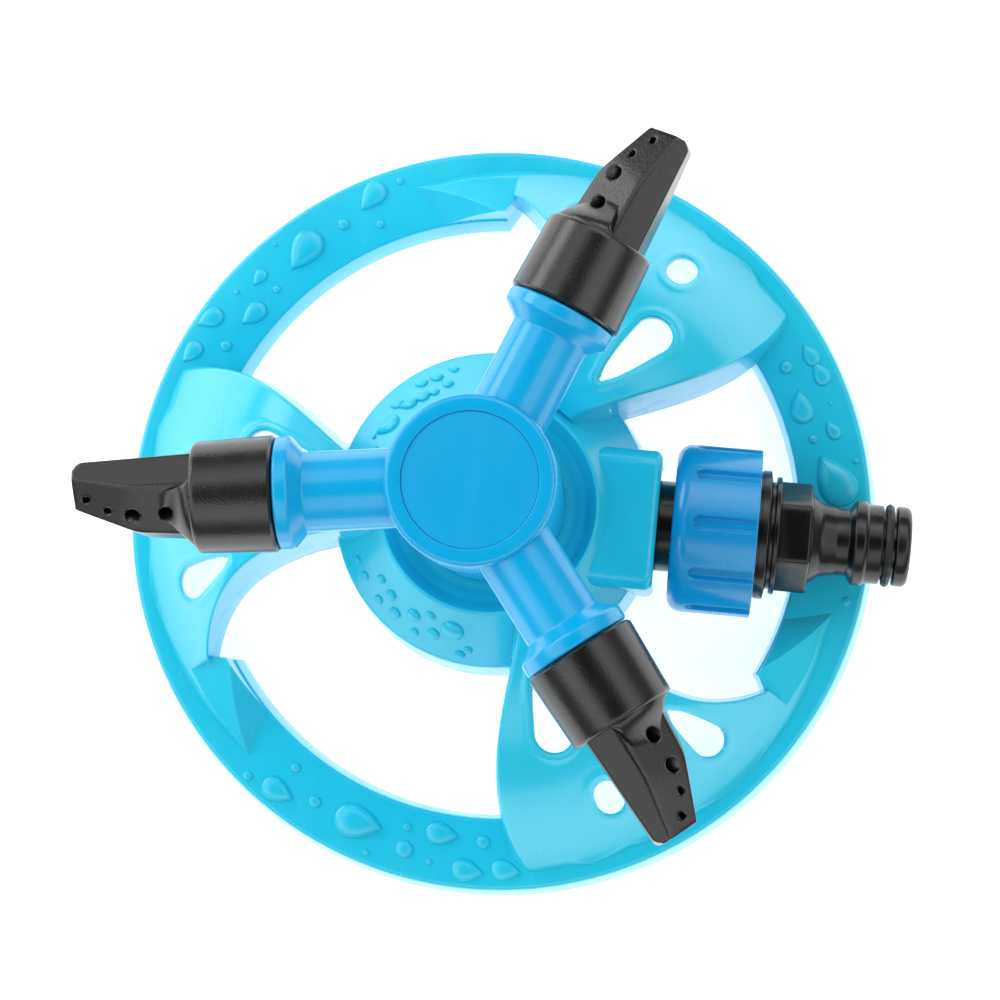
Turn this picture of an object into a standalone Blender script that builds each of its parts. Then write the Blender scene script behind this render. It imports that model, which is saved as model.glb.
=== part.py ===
"""Three-arm rotary lawn sprinkler, as an assembly of separate pieces.

Lengths are in millimetres and are scaled to metres where a mesh is made. +Z is up and the
inlet runs along +X. The origin lies on the ground, at the middle of the footprint.
"""

import math

import bmesh
import bpy
from mathutils import Matrix, Vector

for old in list(bpy.data.objects):
    bpy.data.objects.remove(old, do_unlink=True)

MM = 0.001
FULL_TURN = 2.0 * math.pi

# Fits
GAP = 0.3            # between pieces that touch
SLIDE = 0.5          # between pieces that turn or slide in each other

# Base ring, an upside-down channel
RING_R = 80.0        # outer radius at the ground
RING_H = 10.0
RING_TOP_W = 14.9    # width of the flat top
RING_DRAFT = 1.7     # how far the outer skirt leans out
RING_INNER_DRAFT = 0.5
RING_WALL = 2.3
RING_CHAMFER = 0.7

# Bell, the raised centre of the base
BELL_TOP_Z = 40.0
BELL_RIM_R = 22.3
BELL_SLOPE_W = 10.1  # the shoulder stands this far outside the rim
BELL_SHOULDER_Z = 28.0
BELL_BOTTOM_Z = 11.0
BELL_DRAFT = 1.3
BELL_WALL = 2.4
BELL_LIP = 0.6       # radius of the rounded rim
BELL_SHOULDER_ROUND = 1.0
BOWL_STEP = 2.0      # height where the bowl's slope steepens, over its floor
FLOOR_T = 3.5        # thickness of the bowl's floor
FLOOR_OVER_DUCT = 1.2

# Blades, the three arched legs between ring and bell
BLADE_COUNT = 3
BLADE_FIRST = 41.5   # direction of the first blade, degrees
BLADE_TOP_Z = 42.5
BLADE_WALL = 2.2
BLADE_FULLNESS = 2.8 # how far out the arch stays high
BLADE_RUNOUT = 1.35  # how gently it meets the ring
BLADE_ROOT_DIP = 2.6 # it drops to the rim of the bell at its root
BLADE_EDGE_IN = 2.8  # outer end of a blade, measured in from the ring's top edge
BLADE_PITCH = 2.5    # how much higher the trailing side is
BLADE_SKIRT_Z = 9.0  # lower edge of the side walls at the ring
BLADE_SKIRT_RISE = 10.0
BLADE_FLARE = 1.4
LEAD_NEAREST = -5.1  # leading edge, degrees from the blade's direction
LEAD_WAIST_R = 56.0  # radius where the leading edge turns back
TRAIL_ROOT = 33.7    # trailing edge at the bell, degrees
TRAIL_SWEEP = 14.5   # further sweep where it meets the ring

# Windows in a blade: radii from the bell's shoulder or the ring, turns from the blade's direction
LARGE_TIP_OUT, LARGE_TIP_TURN = 1.2, 11.3
LARGE_OUT, LARGE_TURN, LARGE_R = 15.1, 9.9, 4.0
SMALL_TIP_IN, SMALL_TIP_TURN = 8.0, 34.6
SMALL_OUT, SMALL_TURN, SMALL_R = 0.7, 36.7, 3.7
ROUND_TURN, ROUND_LONG, ROUND_WIDE = 15.7, 3.5, 2.9

# Notch behind a blade's trailing edge, and the wedge on the ring behind it. Turns are degrees
# past the notch's tip.
NOTCH_DEPTH = 3.7    # into the ring's top
NOTCH_CLEAR = 1.3    # degrees past the trailing edge at the ring's inner wall
NOTCH_CORNER = 1.5
CORNER_OUT = 0.6     # the notch's outer corner, out from the ring's inner wall
WEDGE_H = 9.0        # at the notch's outer corner, over the ring
WEDGE_CREST_H = 2.5  # where the broad face meets the flank
WEDGE_CREST_IN = 2.6 # that crest, in from the blade's outer end
WEDGE_FLANK = 1.9    # width of the flank
WEDGE_FALL = 1.3     # along the inner edge, from the corner to where the end slope starts
WEDGE_SLOPE_TURN = 5.3
WEDGE_END_TURN = 13.7
WEDGE_POINT_TURN = 17.0

# Inlet
INLET_Z = 23.5
BOSS_R = 14.2        # half its width, and its height over the inlet's axis
BOSS_CORNER = 4.0
BOSS_WALL = 1.6
BOSS_OUT = 11.6      # its end, beyond the bell's rim
DUCT_R = 6.5
DUCT_BORE_R = 4.5
DUCT_WALL = 2.5
DUCT_FLANGE_T = 2.4
SCREW_COUNT = 3
SCREW_R = 1.25
SCREW_REACH = 2.4    # how far a screw goes into the floor
SCREW_HEAD_R = 2.5
SCREW_HEAD_H = 1.6
SCREW_CIRCLE_R = 12.8
TAIL_R = 9.3
TAIL_BORE_R = 5.5
TAIL_SEAL_IN = 4.0   # its middle, in from the tail's foot
SEAL_GROOVE_DEPTH = 1.9
SOCKET_DEPTH = 8.5
NUT_R = 17.25
NUT_LENGTH = 17.2
TAIL_SHOWN = 3.0     # length of tail between the boss and the nut
NUT_WEB = 3.0
NUT_GROOVES = 10
NUT_GROOVE_W = 2.4
NUT_GROOVE_DEPTH = 1.2
NUT_SHOULDER = 4.4   # the grooves start this far from the closed end
THREAD_R = 13.0      # hose thread G3/4, 26 mm across
FLANGE_T = 2.5
WASHER_T = 2.0
FILTER_T = 0.9

# Quick-connect plug, measured outward from the nut's end face
PLUG_BORE_R = 4.6
HEX_ACROSS = 20.0
HEX_LENGTH = 6.4
NECK_R = 6.9
LOCK_R = 8.65
BARREL_R = 8.1
TIP_R = 8.2
PLUG_LENGTH = 31.2
PLUG_SEAL_BACK = 4.4 # the sealing ring's middle, back from the plug's end
RING_SECTION = 0.85  # half the thickness of the plug's sealing ring

# Rotor
HUB_TOP_Z = 90.0
HUB_R = 16.0
HUB_SKIRT_R = 15.4
HUB_WALL = 2.1
HUB_CAP_R = 12.7
HUB_CAP_SINK = 0.8
HUB_CAP_T = 2.4
ARM_COUNT = 3
ARM_FIRST = 67.8     # direction of the first arm, degrees
ARM_DROP = 8.4       # arm axis below the hub's top
ARM_R = 7.5
ARM_BORE_R = 4.4
COLLAR_R = 10.6
COLLAR_END = 36.2
COLLAR_L = 5.2
SPIGOT_R = 7.0
SPIGOT_L = 9.5
SPIGOT_SEAL_BACK = 3.0
SPIGOT_GROOVE_DEPTH = 1.3

# Spindle and bearing
SPINDLE_R = 5.0
SPINDLE_BORE_R = 3.2
BUSH_T = 2.4         # wall of the bearing bush
BUSH_L = 20.0
LOCKNUT_H = 3.6
THRUST_T = 1.0
SPINDLE_SEAL_BACK = 4.0   # its middle, down from the bush's top

# Nozzle caps
CAP_R = 10.95
CAP_END_R = 10.4
CAP_L = 15.2
BILL_END = 74.5
BILL_BEND = 11.0     # from the cap's face to where the bill narrows
BILL_HALF_W = 7.2
BILL_RIDGE = 2.0     # ridge on the clockwise side of the axis
BILL_TOP = 6.4
BILL_BOTTOM = 5.2
JET_R = 1.4
JETS_OUT = (5.2, 11.8)         # out from the cap's face
FINE_JET_R = 0.7
FINE_JETS_OUT = (16.4, 19.6)
JET_LEAN = 30.0
WATERWAY_R = 3.4
WATERWAY_END_R = 1.0

BELL_SHOULDER_R = BELL_RIM_R + BELL_SLOPE_W
BOSS_END = BELL_RIM_R + BOSS_OUT
NUT_START = BOSS_END + TAIL_SHOWN
RING_TOP_R = RING_R - RING_DRAFT
RING_IN_R = RING_TOP_R - RING_TOP_W
BLADE_OUT_R = RING_TOP_R - BLADE_EDGE_IN
BLADE_IN_R = BELL_RIM_R + 0.7
NUT_END = NUT_START + NUT_LENGTH
PLUG_END = NUT_END + PLUG_LENGTH
ARM_Z = HUB_TOP_Z - ARM_DROP
AXIS_X = (RING_R - PLUG_END) / 2.0   # the rotor's axis, from the middle of the footprint
FLOOR_Z = INLET_Z + DUCT_R + FLOOR_OVER_DUCT + GAP
FLOOR_TOP = FLOOR_Z + FLOOR_T
HUB_FOOT_Z = FLOOR_TOP + 1.6
BOWL_FOOT_R = HUB_SKIRT_R + 1.6
BOSS_HOLLOW_START = BELL_RIM_R - 1.0
BELL_WALL_R = BELL_SHOULDER_R - BELL_WALL / 2.0   # middle of the bell's upright wall

NOTCH_R = RING_IN_R + NOTCH_DEPTH
CORNER_R = RING_IN_R + CORNER_OUT

DUCT_FLANGE_R = SCREW_CIRCLE_R + SCREW_HEAD_R + 0.6
DUCT_FLANGE_TOP = FLOOR_Z - GAP
DUCT_BARREL_R = DUCT_R + DUCT_WALL
DUCT_BARREL_TOP = FLOOR_TOP + 0.4
SOCKET_R = BOSS_R - BOSS_WALL - GAP
SOCKET_IN_R = TAIL_R + GAP
SOCKET_END = BOSS_END - GAP
SOCKET_START = SOCKET_END - SOCKET_DEPTH
SPINDLE_FOOT_Z = FLOOR_Z + 0.6

FLANGE_START = NUT_START + NUT_WEB + GAP
WASHER_START = FLANGE_START + FLANGE_T + GAP
FILTER_START = WASHER_START + WASHER_T + GAP
THREAD_START = FILTER_START + FILTER_T + GAP
NUT_BORE_R = THREAD_R + SLIDE
TAIL_FOOT = SOCKET_START + GAP
TAIL_SEAL_L = TAIL_FOOT + TAIL_SEAL_IN
SEAL_GROOVE_R = TAIL_R - SEAL_GROOVE_DEPTH
PLUG_GROOVE_R = BARREL_R + 0.5 - 2.0 * RING_SECTION - GAP

BUSH_OUT_R = SPINDLE_R + GAP + BUSH_T
HUB_BORE_R = BUSH_OUT_R + GAP
HUB_BARREL_R = HUB_BORE_R + HUB_WALL
CHAMBER_R = HUB_CAP_R - 1.5
CHAMBER_FLOOR = ARM_Z - ARM_R - 1.4
CHAMBER_TOP = HUB_TOP_Z - HUB_CAP_SINK - HUB_CAP_T - GAP
LOCKNUT_Z = CHAMBER_FLOOR + GAP + THRUST_T + GAP
BUSH_TOP = CHAMBER_FLOOR - 0.9
BUSH_FOOT = BUSH_TOP - BUSH_L
SPINDLE_SHOULDER_Z = BUSH_FOOT - THRUST_T - GAP - GAP
SPINDLE_TOP = LOCKNUT_Z + LOCKNUT_H + 1.0
SHOULDER_R = BUSH_OUT_R - 0.6
SPINDLE_SEAL_Z = BUSH_TOP - SPINDLE_SEAL_BACK

SPIGOT_END = COLLAR_END + SPIGOT_L
SPIGOT_SEAL_L = SPIGOT_END - SPIGOT_SEAL_BACK
SPIGOT_GROOVE_R = SPIGOT_R - SPIGOT_GROOVE_DEPTH
CAP_START = COLLAR_END + GAP
CAP_FACE = CAP_START + CAP_L
CAP_BORE_R = SPIGOT_R + GAP


def material(name, color, roughness):
    mat = bpy.data.materials.new(name)
    mat.use_nodes = True
    shader = mat.node_tree.nodes["Principled BSDF"]
    shader.inputs["Base Color"].default_value = (*color, 1.0)
    shader.inputs["Roughness"].default_value = roughness
    shader.inputs["Metallic"].default_value = 0.0
    return mat


CYAN = (0.035, 0.66, 0.90)
BLUE = (0.01, 0.46, 0.88)
NUT_BLUE = (0.01, 0.28, 0.72)
BLACK = (0.012, 0.012, 0.013)
RUBBER = (0.02, 0.02, 0.02)
WHITE = (0.75, 0.76, 0.76)
BRASS = (0.72, 0.52, 0.22)
STEEL = (0.55, 0.56, 0.58)


def empty(name, location, parent=None):
    obj = bpy.data.objects.new(name, None)
    bpy.context.scene.collection.objects.link(obj)
    obj.location = location
    obj.parent = parent
    return obj


rotor_axis = empty("rotor_axis", (AXIS_X * MM, 0.0, 0.0))
inlet_axis = empty("inlet_axis", (0.0, 0.0, INLET_Z * MM), rotor_axis)
inlet_axis.rotation_euler = (0.0, math.radians(90.0), 0.0)


def add(name, verts, faces, color, roughness, parent):
    """A mesh object from points in millimetres. Its normals point out of the solid."""
    mesh = bpy.data.meshes.new(name)
    mesh.from_pydata([(x * MM, y * MM, z * MM) for x, y, z in verts], [], faces)
    bm = bmesh.new()
    bm.from_mesh(mesh)
    bmesh.ops.recalc_face_normals(bm, faces=bm.faces)
    bm.to_mesh(mesh)
    bm.free()
    mesh.shade_smooth()
    mesh.set_sharp_from_angle(angle=math.radians(35.0))
    obj = bpy.data.objects.new(name, mesh)
    obj.data.materials.append(material(name, color, roughness))
    bpy.context.scene.collection.objects.link(obj)
    obj.parent = parent
    return obj


def cutter(name, verts, faces, parent):
    obj = add(name, verts, faces, STEEL, 0.5, parent)
    obj.hide_render = True
    obj.display_type = "WIRE"
    return obj


def boolean(target, tool, operation):
    mod = target.modifiers.new(tool.name, "BOOLEAN")
    mod.operation = operation
    mod.solver = "EXACT"
    mod.object = tool


def turned(profile, steps):
    """The solid ring or rod swept by a closed outline of (radius, height) points.

    An outline that starts and ends on the axis is closed there by two single points.
    """
    on_axis = profile[0][0] == 0.0
    ring = profile[1:-1] if on_axis else profile
    count = len(ring)
    verts = []
    for i in range(steps):
        a = FULL_TURN * i / steps
        verts += [(r * math.cos(a), r * math.sin(a), z) for r, z in ring]
    faces = []
    for i in range(steps):
        here, there = i * count, (i + 1) % steps * count
        for j in range(count - 1 if on_axis else count):
            k = (j + 1) % count
            faces.append((here + j, here + k, there + k, there + j))
    if on_axis:
        first, last = len(verts), len(verts) + 1
        verts += [(0.0, 0.0, profile[0][1]), (0.0, 0.0, profile[-1][1])]
        for i in range(steps):
            here, there = i * count, (i + 1) % steps * count
            faces.append((first, here, there))
            faces.append((last, there + count - 1, here + count - 1))
    return verts, faces


def rod(radius, z0, z1, steps=24):
    return turned([(0.0, z0), (radius, z0), (radius, z1), (0.0, z1)], steps)


def moved(shape, matrix):
    verts, faces = shape
    return [tuple(matrix @ Vector(v)) for v in verts], faces


def torus(ring_r, section_r, steps=20, sides=6):
    """An O-ring about Z with its middle at height 0."""
    turn = [FULL_TURN * j / sides for j in range(sides)]
    return turned([(ring_r + section_r * math.cos(a), section_r * math.sin(a)) for a in turn], steps)


def joined(shapes):
    """Several separate solids as one mesh."""
    verts, faces = [], []
    for v, f in shapes:
        faces += [tuple(k + len(verts) for k in face) for face in f]
        verts += v
    return verts, faces


def prism(outline, z0, z1):
    """An upright solid over a closed outline of (x, y) points."""
    n = len(outline)
    verts = [(x, y, z0) for x, y in outline] + [(x, y, z1) for x, y in outline]
    faces = [tuple(range(n))[::-1], tuple(range(n, 2 * n))]
    faces += [(i, (i + 1) % n, n + (i + 1) % n, n + i) for i in range(n)]
    return verts, faces


def teardrop(tip, centre, radius, steps=10):
    """An outline of a circle drawn out to a point along its two tangents."""
    dx, dy = tip[0] - centre[0], tip[1] - centre[1]
    reach = math.hypot(dx, dy)
    heading = math.atan2(dy, dx)
    half = math.acos(radius / reach)
    sweep = FULL_TURN - 2.0 * half
    points = [tip]
    for i in range(steps + 1):
        a = heading + half + sweep * i / steps
        points.append((centre[0] + radius * math.cos(a), centre[1] + radius * math.sin(a)))
    return points


def spun(angle):
    return Matrix.Rotation(math.radians(angle), 4, "Z")


# ------------------------------------------------------------------ base

def lead_angle(r):
    """Leading edge of a blade: it sweeps back on both sides of its waist."""
    d = r - LEAD_WAIST_R
    return LEAD_NEAREST + 0.0112 * d * d - 0.00007 * d ** 3


def trail_angle(r):
    """Trailing edge of a blade: nearly radial at the bell, swept where it meets the ring."""
    start = BELL_SHOULDER_R + 5.3
    t = max(0.0, (r - start) / (RING_IN_R + 2.0 - start))
    return TRAIL_ROOT + TRAIL_SWEEP * (0.35 * t + 0.65 * t ** 3)


def blade_height(r, across):
    """Top of a blade: an arch from the bell's rim down to the flat of the ring."""
    s = min(max((r - BLADE_IN_R) / (BLADE_OUT_R - BLADE_IN_R), 0.0), 1.0)
    arch = (1.0 - s ** BLADE_FULLNESS) ** BLADE_RUNOUT
    dip = BLADE_ROOT_DIP * max(0.0, 1.0 - s / 0.12) ** 2
    lift = BLADE_PITCH * max(0.0, math.sin(math.pi * s / 0.88)) * across
    return RING_H + (BLADE_TOP_Z - RING_H) * arch - dip + lift


def cone_r(z):
    """Outside of the bell at height z: its sloping face, and below that its upright wall."""
    low, high = BELL_SHOULDER_Z, BELL_TOP_Z - BELL_LIP
    t = (high - z) / (high - low)
    return min(BELL_RIM_R + (BELL_SHOULDER_R - BELL_RIM_R) * t, BELL_SHOULDER_R)


def cone_z(r):
    """Middle of the bell's sloping wall."""
    t = (r - BELL_RIM_R) / (BELL_SHOULDER_R - BELL_RIM_R)
    return BELL_TOP_Z - BELL_LIP + (BELL_SHOULDER_Z - BELL_TOP_Z) * t - BELL_WALL / 2.0


def skirt_height(r, across):
    """Lower edge of a blade's side walls. Within the bell they end in its sloping wall."""
    if r < BELL_WALL_R:
        return min(cone_z(r), blade_height(r, across) - BLADE_WALL - 0.4)
    t = (r - BELL_WALL_R) / (RING_IN_R - BELL_WALL_R)
    z = BLADE_SKIRT_Z + BLADE_SKIRT_RISE * max(0.0, 1.0 - t)
    return min(z, blade_height(r, across) - BLADE_WALL - 0.4)


def blade_section(r, across_steps=6):
    """Closed outline of a blade at radius r: a thin sheet with a side wall at each edge."""
    lead, trail = math.radians(lead_angle(r)), math.radians(trail_angle(r))
    wall, flare = BLADE_WALL / r, BLADE_FLARE / r
    sheet = [i / across_steps for i in range(across_steps + 1)]
    low_lead, low_trail = skirt_height(r, 0.0), skirt_height(r, 1.0)
    outer = [(lead - flare, low_lead)]
    outer += [(lead + (trail - lead) * u, blade_height(r, u)) for u in sheet]
    outer += [(trail + flare, low_trail)]
    inner = [(trail + flare - wall, low_trail)]
    inner += [(lead + wall + (trail - lead - 2 * wall) * u, blade_height(r, u) - BLADE_WALL)
              for u in sheet[::-1]]
    inner += [(lead - flare + wall, low_lead)]
    return [(r * math.cos(a), r * math.sin(a), z) for a, z in outer + inner]


def lofted(stations):
    """A solid through closed outlines with the same number of points."""
    n = len(stations[0])
    verts = [point for station in stations for point in station]
    faces = [tuple(range(n)), tuple(range(len(verts) - n, len(verts)))]
    for i in range(len(stations) - 1):
        for j in range(n):
            k = (j + 1) % n
            faces.append((i * n + j, i * n + k, (i + 1) * n + k, (i + 1) * n + j))
    return verts, faces


def blade_solid():
    steps = 7
    first = BELL_WALL_R + 0.5
    radii = [BLADE_IN_R, (BLADE_IN_R + BELL_WALL_R) / 2.0, BELL_WALL_R - 0.3, first]
    radii += [first + (BLADE_OUT_R - first) * (i + 1) / steps for i in range(steps)]
    return lofted([blade_section(r) for r in radii])


def polar(r, angle):
    a = math.radians(angle)
    return (r * math.cos(a), r * math.sin(a))


def windows():
    """Outlines of the two drop-shaped windows and the oval one."""
    circle = [FULL_TURN * i / 12.0 for i in range(12)]
    large = teardrop(polar(BELL_SHOULDER_R + LARGE_TIP_OUT, LARGE_TIP_TURN),
                     polar(BELL_SHOULDER_R + LARGE_OUT, LARGE_TURN), LARGE_R)
    small = teardrop(polar(RING_IN_R - SMALL_TIP_IN, SMALL_TIP_TURN),
                     polar(RING_IN_R + SMALL_OUT, SMALL_TURN), SMALL_R)
    x, y = polar(RING_IN_R, ROUND_TURN)
    oval = [(x + ROUND_LONG * math.cos(a), y + ROUND_WIDE * math.sin(a)) for a in circle]
    return [large, small, oval]


def notch():
    """Outline of the notch: along the trailing edge to its tip, and straight back."""
    radii = [RING_IN_R - 1.0, CORNER_R, (CORNER_R + NOTCH_R) / 2.0, NOTCH_R]
    near = [polar(r, trail_angle(r) + NOTCH_CLEAR * (NOTCH_R - r) / NOTCH_DEPTH) for r in radii]
    reach = (NOTCH_R - radii[0]) / (NOTCH_R - CORNER_R)
    return near + [polar(radii[0], trail_angle(NOTCH_R) + NOTCH_CORNER * reach)]


def wedge():
    """The blade's surface runs on over the ring as a wedge: broad face, flank and end slope."""
    tip = trail_angle(NOTCH_R)
    crest_r = BLADE_OUT_R - WEDGE_CREST_IN
    fall = (WEDGE_H - WEDGE_CREST_H) / (crest_r - CORNER_R)
    corners = [(CORNER_R, trail_angle(CORNER_R) + 0.4, WEDGE_H + 0.4),
               (NOTCH_R, tip - 0.2, WEDGE_H - fall * (NOTCH_R - CORNER_R)),
               (crest_r, tip, WEDGE_CREST_H), (crest_r + WEDGE_FLANK, tip, -GAP),
               (crest_r + WEDGE_FLANK, tip + WEDGE_POINT_TURN / 2.0, -GAP),
               (crest_r - 0.4, tip + WEDGE_POINT_TURN, -GAP),
               (CORNER_R + GAP, tip + WEDGE_END_TURN, -GAP),
               (CORNER_R + GAP, tip + WEDGE_SLOPE_TURN, WEDGE_H - WEDGE_FALL)]
    n = len(corners)
    verts = [(*polar(r, a), RING_H - 2.0) for r, a, h in corners]
    verts += [(*polar(r, a), RING_H + h) for r, a, h in corners]
    faces = [tuple(range(n))] + [(i, (i + 1) % n, n + (i + 1) % n, n + i) for i in range(n)]
    notch_corner, notch_tip, crest, flank, middle, point, end, slope = range(n, 2 * n)
    faces += [(notch_corner, notch_tip, slope), (notch_tip, crest, slope), (crest, point, slope),
              (crest, flank, middle), (crest, middle, point), (slope, point, end)]
    return verts, faces


def boss():
    """The inlet's housing: flat on top with round corners, its sides upright and open below."""
    corner = [math.radians(90.0 * i / 5.0) for i in range(6)]
    edge = BOSS_R - BOSS_CORNER
    side = [(BOSS_R, BELL_BOTTOM_Z - INLET_Z), (BOSS_R, BELL_SHOULDER_Z - INLET_Z - 1.0)]
    side += [(edge + BOSS_CORNER * math.cos(a), edge + BOSS_CORNER * math.sin(a)) for a in corner]
    section = side + [(-y, z) for y, z in side[::-1]]
    inside = BELL_WALL / 2.0
    start = [(math.sqrt((cone_r(INLET_Z + z) - inside) ** 2 - y * y), y, INLET_Z + z) for y, z in section]
    end = [(BOSS_END, y, INLET_Z + z) for y, z in section]
    n = len(section)
    verts, faces = lofted([start, end])
    # The start follows the bell, so it is closed by level strips from side to side.
    strips = [(k, k + 1, n - 2 - k, n - 1 - k) for k in range(n // 2 - 1)]
    return verts, strips + faces[1:]


def boss_hollow():
    """The tunnel for the duct: a half round on two upright sides."""
    inner_r = BOSS_R - BOSS_WALL
    foot = BELL_BOTTOM_Z - INLET_Z - 1.0
    half = [math.pi * i / 16.0 for i in range(17)]
    section = [(inner_r, foot)] + [(inner_r * math.cos(a), inner_r * math.sin(a)) for a in half]
    section.append((-inner_r, foot))
    return lofted([[(x, y, INLET_Z + z) for y, z in section] for x in (BOSS_HOLLOW_START, BOSS_END + 1.0)])


def build_base():
    """One cyan moulding: ring, three blades, bell with its bowl, and the inlet boss."""
    top_in, top_out = RING_IN_R, RING_TOP_R
    c, w = RING_CHAMFER, RING_WALL
    ring = turned([(RING_R, 0.0), (top_out, RING_H - c), (top_out - c, RING_H), (top_in + c, RING_H),
                   (top_in, RING_H - c), (top_in - RING_INNER_DRAFT, 0.0),
                   (top_in - RING_INNER_DRAFT + w, 0.0), (top_in + w, RING_H - w),
                   (top_out - w, RING_H - w), (RING_R - w, 0.0)], 60)

    seat = DUCT_BARREL_R + GAP
    bell = turned([(seat, FLOOR_Z), (seat, FLOOR_TOP), (BOWL_FOOT_R, FLOOR_TOP + GAP),
                   ((BOWL_FOOT_R + BELL_RIM_R) / 2.0, FLOOR_TOP + BOWL_STEP),
                   (BELL_RIM_R - BELL_LIP, BELL_TOP_Z), (BELL_RIM_R, BELL_TOP_Z - BELL_LIP),
                   (BELL_SHOULDER_R - BELL_SHOULDER_ROUND, BELL_SHOULDER_Z + BELL_SHOULDER_ROUND),
                   (BELL_SHOULDER_R, BELL_SHOULDER_Z - BELL_SHOULDER_ROUND),
                   (BELL_SHOULDER_R + BELL_DRAFT, BELL_BOTTOM_Z),
                   (BELL_SHOULDER_R + BELL_DRAFT - BELL_WALL, BELL_BOTTOM_Z),
                   (BELL_SHOULDER_R - BELL_WALL, BELL_SHOULDER_Z - 1.6),
                   (BELL_RIM_R + 0.2, FLOOR_Z)], 40)
    base = add("base", *joined([ring, bell]), CYAN, 0.3, rotor_axis)

    turns = [spun(BLADE_FIRST + i * 360.0 / BLADE_COUNT) for i in range(BLADE_COUNT)]
    added = [boss()] + [moved(blade_solid(), turn) for turn in turns]
    boolean(base, cutter("base_added", *joined(added), rotor_axis), "UNION")
    wedges = joined([moved(wedge(), turn) for turn in turns])
    boolean(base, cutter("base_wedges", *wedges, rotor_axis), "UNION")

    # Windows and notches go right through, the ring's inner edge with them.
    removed = [boss_hollow()]
    for turn in turns:
        removed += [moved(prism(outline, -1.0, BLADE_TOP_Z + 10.0), turn)
                    for outline in windows() + [notch()]]
    # Blind holes in the bowl's floor for the duct's screws.
    hole = rod(SCREW_R + GAP, FLOOR_Z - 1.0, FLOOR_Z + SCREW_REACH + GAP, 12)
    removed += [moved(hole, screw_place(i)) for i in range(SCREW_COUNT)]
    boolean(base, cutter("base_removed", *joined(removed), rotor_axis), "DIFFERENCE")


def screw_place(i):
    """Screws stand round the duct, clear of its level pipe."""
    angle = math.radians(60.0 + i * 120.0)
    x, y = SCREW_CIRCLE_R * math.cos(angle), SCREW_CIRCLE_R * math.sin(angle)
    return Matrix.Translation(Vector((x, y, 0.0)))


# ------------------------------------------------------------------ water duct

def build_duct():
    """Elbow under the bell: a level pipe from the inlet and an upright barrel for the spindle."""
    flange_top = DUCT_FLANGE_TOP
    body = turned([(0.0, INLET_Z - DUCT_R), (DUCT_R + 0.5, INLET_Z - DUCT_R),
                   (DUCT_R + 0.5, flange_top - DUCT_FLANGE_T), (DUCT_FLANGE_R, flange_top - DUCT_FLANGE_T),
                   (DUCT_FLANGE_R, flange_top), (DUCT_BARREL_R, flange_top),
                   (DUCT_BARREL_R, DUCT_BARREL_TOP), (0.0, DUCT_BARREL_TOP)], 28)
    duct = add("water_duct", *body, WHITE, 0.4, rotor_axis)
    to_inlet = Matrix.Translation(Vector((0.0, 0.0, INLET_Z))) @ Matrix.Rotation(math.radians(90.0), 4, "Y")
    step = BOSS_HOLLOW_START + GAP
    pipe = turned([(0.0, 0.0), (DUCT_R, 0.0), (DUCT_R, step), (SOCKET_R, step), (SOCKET_R, SOCKET_END),
                   (0.0, SOCKET_END)], 28)
    boolean(duct, cutter("duct_pipe", *moved(pipe, to_inlet), rotor_axis), "UNION")
    bore = turned([(0.0, -3.0), (DUCT_BORE_R, -3.0), (DUCT_BORE_R, SOCKET_START),
                   (SOCKET_IN_R, SOCKET_START), (SOCKET_IN_R, SOCKET_END + 1.0),
                   (0.0, SOCKET_END + 1.0)], 24)
    bore = cutter("duct_bore", *moved(bore, to_inlet), rotor_axis)
    riser = DUCT_BORE_R - 0.5
    seat = turned([(0.0, INLET_Z - 1.0), (riser, INLET_Z - 1.0), (riser, SPINDLE_FOOT_Z - GAP),
                   (SPINDLE_R + GAP, SPINDLE_FOOT_Z - GAP), (SPINDLE_R + GAP, DUCT_BARREL_TOP + 1.0),
                   (0.0, DUCT_BARREL_TOP + 1.0)], 22)
    hole = rod(SCREW_R + GAP, flange_top - DUCT_FLANGE_T - 1.0, flange_top + 1.0, 12)
    upright = [seat] + [moved(hole, screw_place(i)) for i in range(SCREW_COUNT)]
    boolean(bore, cutter("duct_upright_bores", *joined(upright), rotor_axis), "UNION")
    boolean(duct, bore, "DIFFERENCE")


def build_screws():
    low = DUCT_FLANGE_TOP - DUCT_FLANGE_T - GAP
    for i in range(SCREW_COUNT):
        shape = turned([(0.0, low - SCREW_HEAD_H), (SCREW_HEAD_R - 0.6, low - SCREW_HEAD_H),
                        (SCREW_HEAD_R, low - 0.5), (SCREW_HEAD_R, low), (SCREW_R, low),
                        (SCREW_R, FLOOR_Z + SCREW_REACH), (0.0, FLOOR_Z + SCREW_REACH)], 14)
        add(f"duct_screw_{i + 1}", *moved(shape, screw_place(i)), STEEL, 0.3, rotor_axis)


# ------------------------------------------------------------------ inlet, turned about the inlet's axis

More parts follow.
